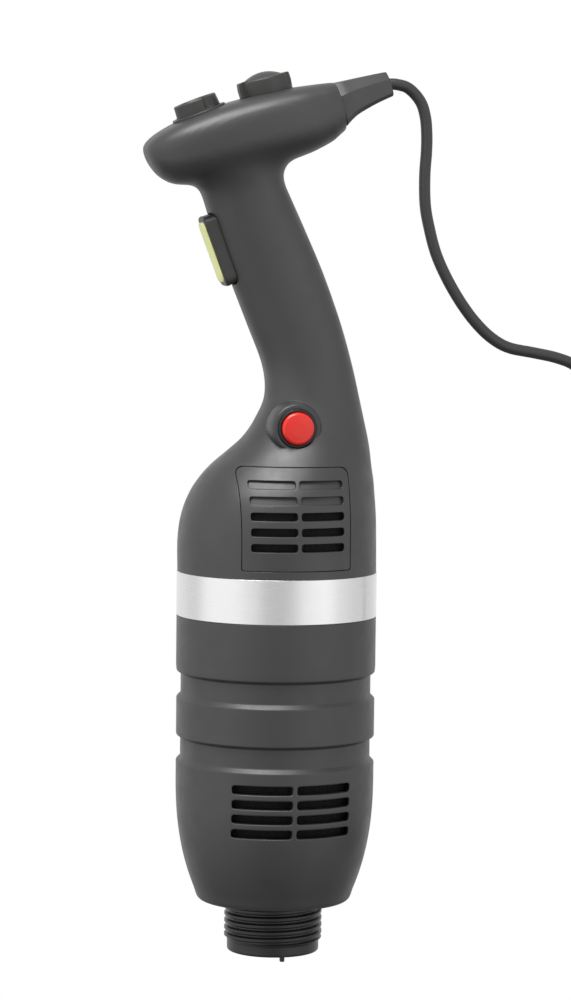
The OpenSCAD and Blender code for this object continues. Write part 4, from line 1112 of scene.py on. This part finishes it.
def make_collar():
    """Screw-on collar for the tool, with a real helical thread that runs out at both ends."""
    crest = THREAD_D / 2
    root = crest - THREAD_DEPTH
    low, high = 5.0, BARREL_FLOOR_Z + 0.4
    segments = 192
    below = round_corners([(root - 3.2, 0, 2.2), (root, 0, 2.6), (root, low, 0)], 6)
    below = [p for p in below if p[0] > root - 3.3]
    above = [(crest - 0.1, high), (crest - 0.1, FLOOR_TOP_Z), (FLANGE_R, FLOOR_TOP_Z), (FLANGE_R, 35),
             (12, 35), (12, 29), (8, 29), (8, 24.5), (SOCKET_R + 1.5, 24.5), (SOCKET_R + 1.5, SOCKET_LEN),
             (SOCKET_R, SOCKET_LEN), (SOCKET_R, 1.0), (SOCKET_R + 0.8, 0)]
    turns = int((high - low) / THREAD_PITCH) + 3
    rings = []
    for i in range(segments + 1):
        ring = list(below)
        for turn in range(-1, turns):
            for share, rise in THREAD_PROFILE:
                z = low - THREAD_PITCH + (turn + i / segments) * THREAD_PITCH + rise
                fade = ease((z - low) / 2.2) * ease((high - z) / 1.5 + 0.3)
                z = min(max(z, low), high)
                ring.append((root + THREAD_DEPTH * share * fade, z))
        rings.append(around(ring + above, 2 * math.pi * i / segments))
    collar = loft("screw_collar", rings, capped=False)
    nibs = []
    for side in (-1, 1):
        outline = rounded_box(1.15, 1.0, 0.35, 3)
        nibs.append(loft("nib", [[(x * s, side * 22 + y * s, z) for x, y in outline]
                                 for z, s in ((REST_Z, 0.75), (REST_Z + 0.4, 1.0), (1.5, 1.0))]))
    shade(collar, 30)
    nib_pair = shade(joined(nibs), 40)
    whole = joined([collar, nib_pair])
    piece(whole, "screw_collar", "housing", "thread", "threaded_collar")


make_barrel()
make_outlet_screens()
make_band()
make_collar()


# ---------------------------------------------------------------- lead entry

def make_relief():
    """Tapered boot that the mains lead leaves through."""
    rings = [relief_ring(25.6, 11.2, -7.6, 13.8), relief_ring(28.9, 11.2, -7.6, 13.8)]
    rings += [relief_ring(RELIEF_SECTIONS[0][0] - 0.1, *RELIEF_SECTIONS[0][1:], 0.4)]
    rings += [relief_ring(*row) for row in smooth(RELIEF_SECTIONS, 8)]
    last = RELIEF_SECTIONS[-1]
    rings += [relief_ring(last[0] + d, *last[1:], draw)
              for d, draw in ((0.4, 0.1), (0.75, 0.4), (0.85, 0.8))]
    relief = shade(loft("lead_relief", rings, IN_HEAD), 30)
    piece(relief, "lead_relief", "housing", "housing", "strain_relief")


make_relief()


# ---------------------------------------------------------------- controls

# Lower end of a button's stem, whose hook keeps the button from coming out
STEM_TIP = ((2.5, -9.5, 0), (3.6, -9.5, 0), (3.6, -10.5, 0), (2.5, -10.5, 0), (2.5, -13, 0.3), (0, -13, 0))


def scoops(radius, low, high, first, place, count=3):
    """Finger scoops round a knob."""
    tools = []
    for k in range(count):
        spin = place @ turned(first + 360 * k / count, "Z")
        tools.append(prism("scoop", circle(4.2, 48, (radius + 3, 0)), low, high, spin))
    return joined(tools)


def make_trigger():
    """Long key with a soft insert let into its face."""
    length, width = TRIGGER_LEN / 2, TRIGGER_W / 2
    edge = [(0.0, 0.0), (-0.25, 0.5), (-0.8, 0.85), (-1.5, 1.0)]
    rings = [[(x, y, z) for x, y in rounded_box(length - 0.2, width - 0.2, 5, 10)] for z in (-9.5, -3)]
    rings += [[(x, y, -1.5 + 1.5 * h) for x, y in rounded_box(length + d * 0.8, width + d * 0.8, 5, 10)]
              for d, h in edge]
    key = loft("trigger", rings, AT_TRIGGER)
    carve(key, prism("seat", rounded_box(length - 2.5, width - 2, 3.6, 8), -1.8, 2, AT_TRIGGER))
    foot = [prism("foot", rounded_box(length - 1, width - 1, 4), -10, -9.4, AT_TRIGGER)]
    foot.append(block("tabs", (-length - 1.6, -5, -10), (length + 1.6, 5, -8.4), AT_TRIGGER))
    for x in (-11, 11):
        foot.append(prism("guide_pin", circle(2.5, 32, (x, 0)), -19, -9.6, AT_TRIGGER))
    foot.append(prism("plunger", circle(1.5, 24), -16, -9.6, AT_TRIGGER))
    carve(key, joined(foot), "UNION", overlaps=True)
    shade(key, 34)
    piece(key, "trigger_lever", "trigger", "controls", "trigger_key")
    profile = [(0.0, -1.8), (0.0, 0.2), (-0.25, 0.6), (-0.8, 0.85), (-2.2, 1.02), (-3.2, 1.08)]
    insert = loft("grip_insert", [
        [(x, y, z) for x, y in rounded_box(length - 2.6 + d, width - 2.1 + d, max(3.5 + d, 0.5), 10)]
        for d, z in profile], AT_TRIGGER)
    shade(insert, 45)
    piece(insert, "grip_insert", "trigger", "lime_insert", "trigger_insert")


def make_lock():
    """Red cap on a hooked stem, and the ring that it slides in."""
    outline = [(0, 3.9, 0), (LOCK_R * 0.5, 3.82, 2), (LOCK_R - 0.9, 3.45, 1.0), (LOCK_R, 2.5, 0.7),
               (LOCK_R, -3, 0.2), (LOCK_R - 1.3, -3, 0), (LOCK_R - 1.3, 1.2, 0), (2.5, 1.2, 0), *STEM_TIP]
    cap = shade(lathe("lock_cap", round_corners(outline, 6), 96, AT_LOCK), 34)
    piece(cap, "lock_cap", "lock", "red_cap", "lock_button")
    gap_r = LOCK_R + 0.15
    outline = [(LOCK_RING_R, -8, 0.2), (LOCK_RING_R, 1, 0.7), (gap_r, 1, 0.5), (gap_r, -6.5, 0),
               (2.55, -6.5, 0), (2.55, -8, 0)]
    ring = shade(lathe("lock_collar", round_corners(outline, 6), 96, AT_LOCK), 34)
    piece(ring, "lock_collar", "housing", "black_plastic", "lock_ring")


def make_push():
    """Front button on a hooked stem, and the bezel that it slides in."""
    outline = [(0, 5.2, 0), (PUSH_R - 3.4, 5.2, 0.3), (PUSH_R - 2.8, 6.1, 0.5), (PUSH_R - 0.5, 6.2, 0.8),
               (PUSH_R, 0.5, 0), (PUSH_R, -3, 0.2), (PUSH_R - 2, -3, 0), (PUSH_R - 2, 4, 0), (2.5, 4, 0),
               *STEM_TIP]
    cap = lathe("push_cap", round_corners(outline, 6), 128, AT_PUSH)
    carve(cap, scoops(PUSH_R, 0.6, 8, -70, AT_PUSH))
    shade(cap, 34)
    piece(cap, "push_cap", "push", "controls", "push_button")
    gap_r = PUSH_R + 0.2
    outline = [(PUSH_BEZEL_R, -1.5, 0.2), (PUSH_BEZEL_R, 0.05, 0.6), (gap_r, 0.05, 0.3), (gap_r, -7.5, 0),
               (2.55, -7.5, 0), (2.55, -9, 0), (12.6, -9, 0), (12.6, -1.5, 0)]
    ring = shade(lathe("push_collar", round_corners(outline, 5), 128, AT_PUSH), 34)
    piece(ring, "push_collar", "housing", "controls", "push_bezel")


def make_dial():
    """Knob with a low dome, finger scoops and a raised pointer. It hangs on the dial's shaft."""
    dome_r, dome_h = 9.6, 2.8
    dome = [(dome_r * (1 - t), DIAL_H + dome_h * (1 - (1 - t) ** 2) + 0.02, 0)
            for t in (0.08, 0.2, 0.36, 0.55, 0.78)]
    outline = [(DIAL_R - 0.35, DIAL_SKIRT_Z, 0.3), (DIAL_R, DIAL_H * 0.5, 0), (DIAL_R - 0.3, DIAL_H, 0.9),
               (dome_r, DIAL_H, 0.4), *dome, (0, DIAL_H + dome_h, 0), (0, 7, 0), (3, 7, 0),
               (3, DIAL_HUB_Z, 0), (5, DIAL_HUB_Z, 0), (5, 5.4, 0), (DIAL_R - 2, 5.4, 0),
               (DIAL_R - 2, DIAL_SKIRT_Z, 0)]
    knob = lathe("dial_knob", round_corners(outline, 5), 144, AT_DIAL)
    carve(knob, scoops(DIAL_R, 1.2, DIAL_H + 6, -35, AT_DIAL))
    pointer_rings = [[(x, y, z) for x, y in rounded_box(2.2, 0.5, 0.45, 4)]
                     for z in (DIAL_H - 0.5, DIAL_H + 0.35)]
    on_top = AT_DIAL @ turned(205, "Z") @ Matrix.Translation((11.0, 0, 0))
    carve(knob, loft("pointer", pointer_rings, on_top), "UNION")
    shade(knob, 34)
    piece(knob, "dial_knob", "dial", "controls", "speed_dial")


# Foot's height under the button, radius, wire radius, length, turns, and the button's travel
RETURN_SPRINGS = (
    ("trigger_return", "trigger_spring", "trigger_slide", AT_TRIGGER, (-14.5, 3.4, 0.4, 4.5, 3, 4.0)),
    ("lock_return", "lock_spring", "lock_slide", AT_LOCK, (-6.5, 4.4, 0.5, 7.6, 4, 3.0)),
    ("push_return", "push_spring", "push_slide", AT_PUSH, (-7.5, 5.5, 0.5, 11.4, 5, 2.5)))


def make_return_spring(name, node, joint, place, sizes):
    """Coil spring under a button. Its foot stays put."""
    foot, r, wire_r, length, turns, travel = sizes
    steps = turns * 24
    rings = []
    for i in range(steps + 1):
        a = 2 * math.pi * turns * i / steps
        z = foot + wire_r + (length - 2 * wire_r) * i / steps
        rings.append(around([(r + c, z - d) for c, d in circle(wire_r, 8)], a))
    spring = shade(loft(name, rings, place), 60)
    piece(spring, name, "housing", "spring_steel", node)
    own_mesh(spring)


make_trigger()
make_lock()
make_push()
for spring in RETURN_SPRINGS:
    make_return_spring(*spring)
make_dial()


# ---------------------------------------------------------------- floor, light and finish

def make_floor():
    """Plain white floor that runs out of sight. It lights nothing: the surroundings' light does."""
    radius = 60.0
    mesh = bpy.data.meshes.new("floor")
    rim = [(radius * math.cos(a), radius * math.sin(a), REST_Z * MM - 0.0002)
           for a in (2 * math.pi * k / 96 for k in range(96))]
    mesh.from_pydata(rim, [], [tuple(range(96))])
    floor = linked(bpy.data.objects.new("floor", mesh))
    n = Material("floor_paint")
    n.tree.nodes.remove(n.shader)
    white = n.add("ShaderNodeEmission")
    white.inputs["Strength"].default_value = 1.0
    clear = n.add("ShaderNodeBsdfTransparent")
    choice = n.add("ShaderNodeMixShader")
    n.link(n.add("ShaderNodeLightPath").outputs["Is Camera Ray"], choice.inputs[0])
    n.link(clear.outputs[0], choice.inputs[1])
    n.link(white.outputs[0], choice.inputs[2])
    n.link(choice.outputs[0], n.tree.nodes["Material Output"].inputs["Surface"])
    mesh.materials.append(n.material)


OBJECT_MIDDLE = 0.25           # height in metres that the lamps aim at


def soft_box(name, azimuth, elevation, distance, width, height, radiance):
    """Area light at azimuth and elevation from the object, aimed at its middle."""
    a, e = math.radians(azimuth), math.radians(elevation)
    toward = Vector((math.sin(a) * math.cos(e), -math.cos(a) * math.cos(e), math.sin(e)))
    data = bpy.data.lights.new(name, "AREA")
    data.shape = "RECTANGLE"
    data.size, data.size_y = width, height
    data.energy = radiance * math.pi * width * height
    lamp = linked(bpy.data.objects.new(name, data))
    lamp.location = Vector((0, 0, OBJECT_MIDDLE)) + toward * distance
    lamp.rotation_mode = "QUATERNION"
    lamp.rotation_quaternion = toward.to_track_quat("Z", "Y")


# Light of the surroundings by azimuth from the camera's side, in degrees towards the right
PANELS = ((-180, 1.0), (-140, 0.9), (-108, 0.75), (-82, 1.1), (-50, 1.12), (-28, 0.92), (-8, 0.63),
          (6, 0.6), (18, 0.7), (34, 1.05), (58, 1.15), (82, 0.86), (104, 0.74), (130, 0.76), (180, 1.0))
FLOOR_SHADE = 0.25             # share of that light that comes from straight below
CEILING_SHADE = 0.5            # and from straight above


def make_world():
    """Surroundings whose light varies with azimuth, as between a studio's soft panels, and fades
    towards the floor and the ceiling. The camera sees plain white behind the object."""
    world = bpy.data.worlds.new("studio")
    world.use_nodes = True
    bpy.context.scene.world = world
    n = NodeTree(world.node_tree)
    towards = n.add("ShaderNodeTexCoord").outputs["Generated"]
    sides = []
    for axis in ((math.cos(CAMERA_AZIMUTH), math.sin(CAMERA_AZIMUTH), 0),
                 (math.sin(CAMERA_AZIMUTH), -math.cos(CAMERA_AZIMUTH), 0), (0, 0, 1)):
        dot = n.add("ShaderNodeVectorMath", operation="DOT_PRODUCT")
        dot.inputs[1].default_value = axis
        n.link(towards, dot.inputs[0])
        sides.append(dot.outputs["Value"])
    share = n.spread(n.math("ARCTAN2", sides[0], sides[1]), 0, 1, -math.pi, math.pi)
    ramp = n.add("ShaderNodeValToRGB")
    ramp.color_ramp.interpolation = "EASE"
    stops = ramp.color_ramp.elements
    while len(stops) < len(PANELS):
        stops.new(0.5)
    for stop, (azimuth, light) in zip(stops, PANELS):
        stop.position = (azimuth + 180) / 360
        stop.color = (light, light, light, 1)
    n.link(share, ramp.inputs["Fac"])
    dimmed = ramp.outputs["Color"]
    for start, end, least in ((-0.75, -0.15, FLOOR_SHADE), (0.75, 0.2, CEILING_SHADE)):
        fade = n.add("ShaderNodeMapRange", interpolation_type="SMOOTHSTEP")
        for key, value in (("From Min", start), ("From Max", end), ("To Min", least)):
            fade.inputs[key].default_value = value
        n.link(sides[2], fade.inputs["Value"])
        scale = n.add("ShaderNodeVectorMath", operation="SCALE")
        n.link(dimmed, scale.inputs[0])
        n.link(fade.outputs["Result"], scale.inputs["Scale"])
        dimmed = scale.outputs[0]
    seen = n.add("ShaderNodeLightPath")
    mix = n.add("ShaderNodeMix", data_type="RGBA")
    mix.inputs[7].default_value = (1, 1, 1, 1)
    n.link(seen.outputs["Is Camera Ray"], mix.inputs[0])
    n.link(dimmed, mix.inputs[6])
    n.link(mix.outputs[2], n.tree.nodes["Background"].inputs["Color"])


def make_light():
    make_world()
    soft_box("top_box", azimuth=-40, elevation=66, distance=1.3, width=1.0, height=0.7, radiance=9)
    bpy.context.scene.view_settings.view_transform = "Standard"


make_floor()
make_light()
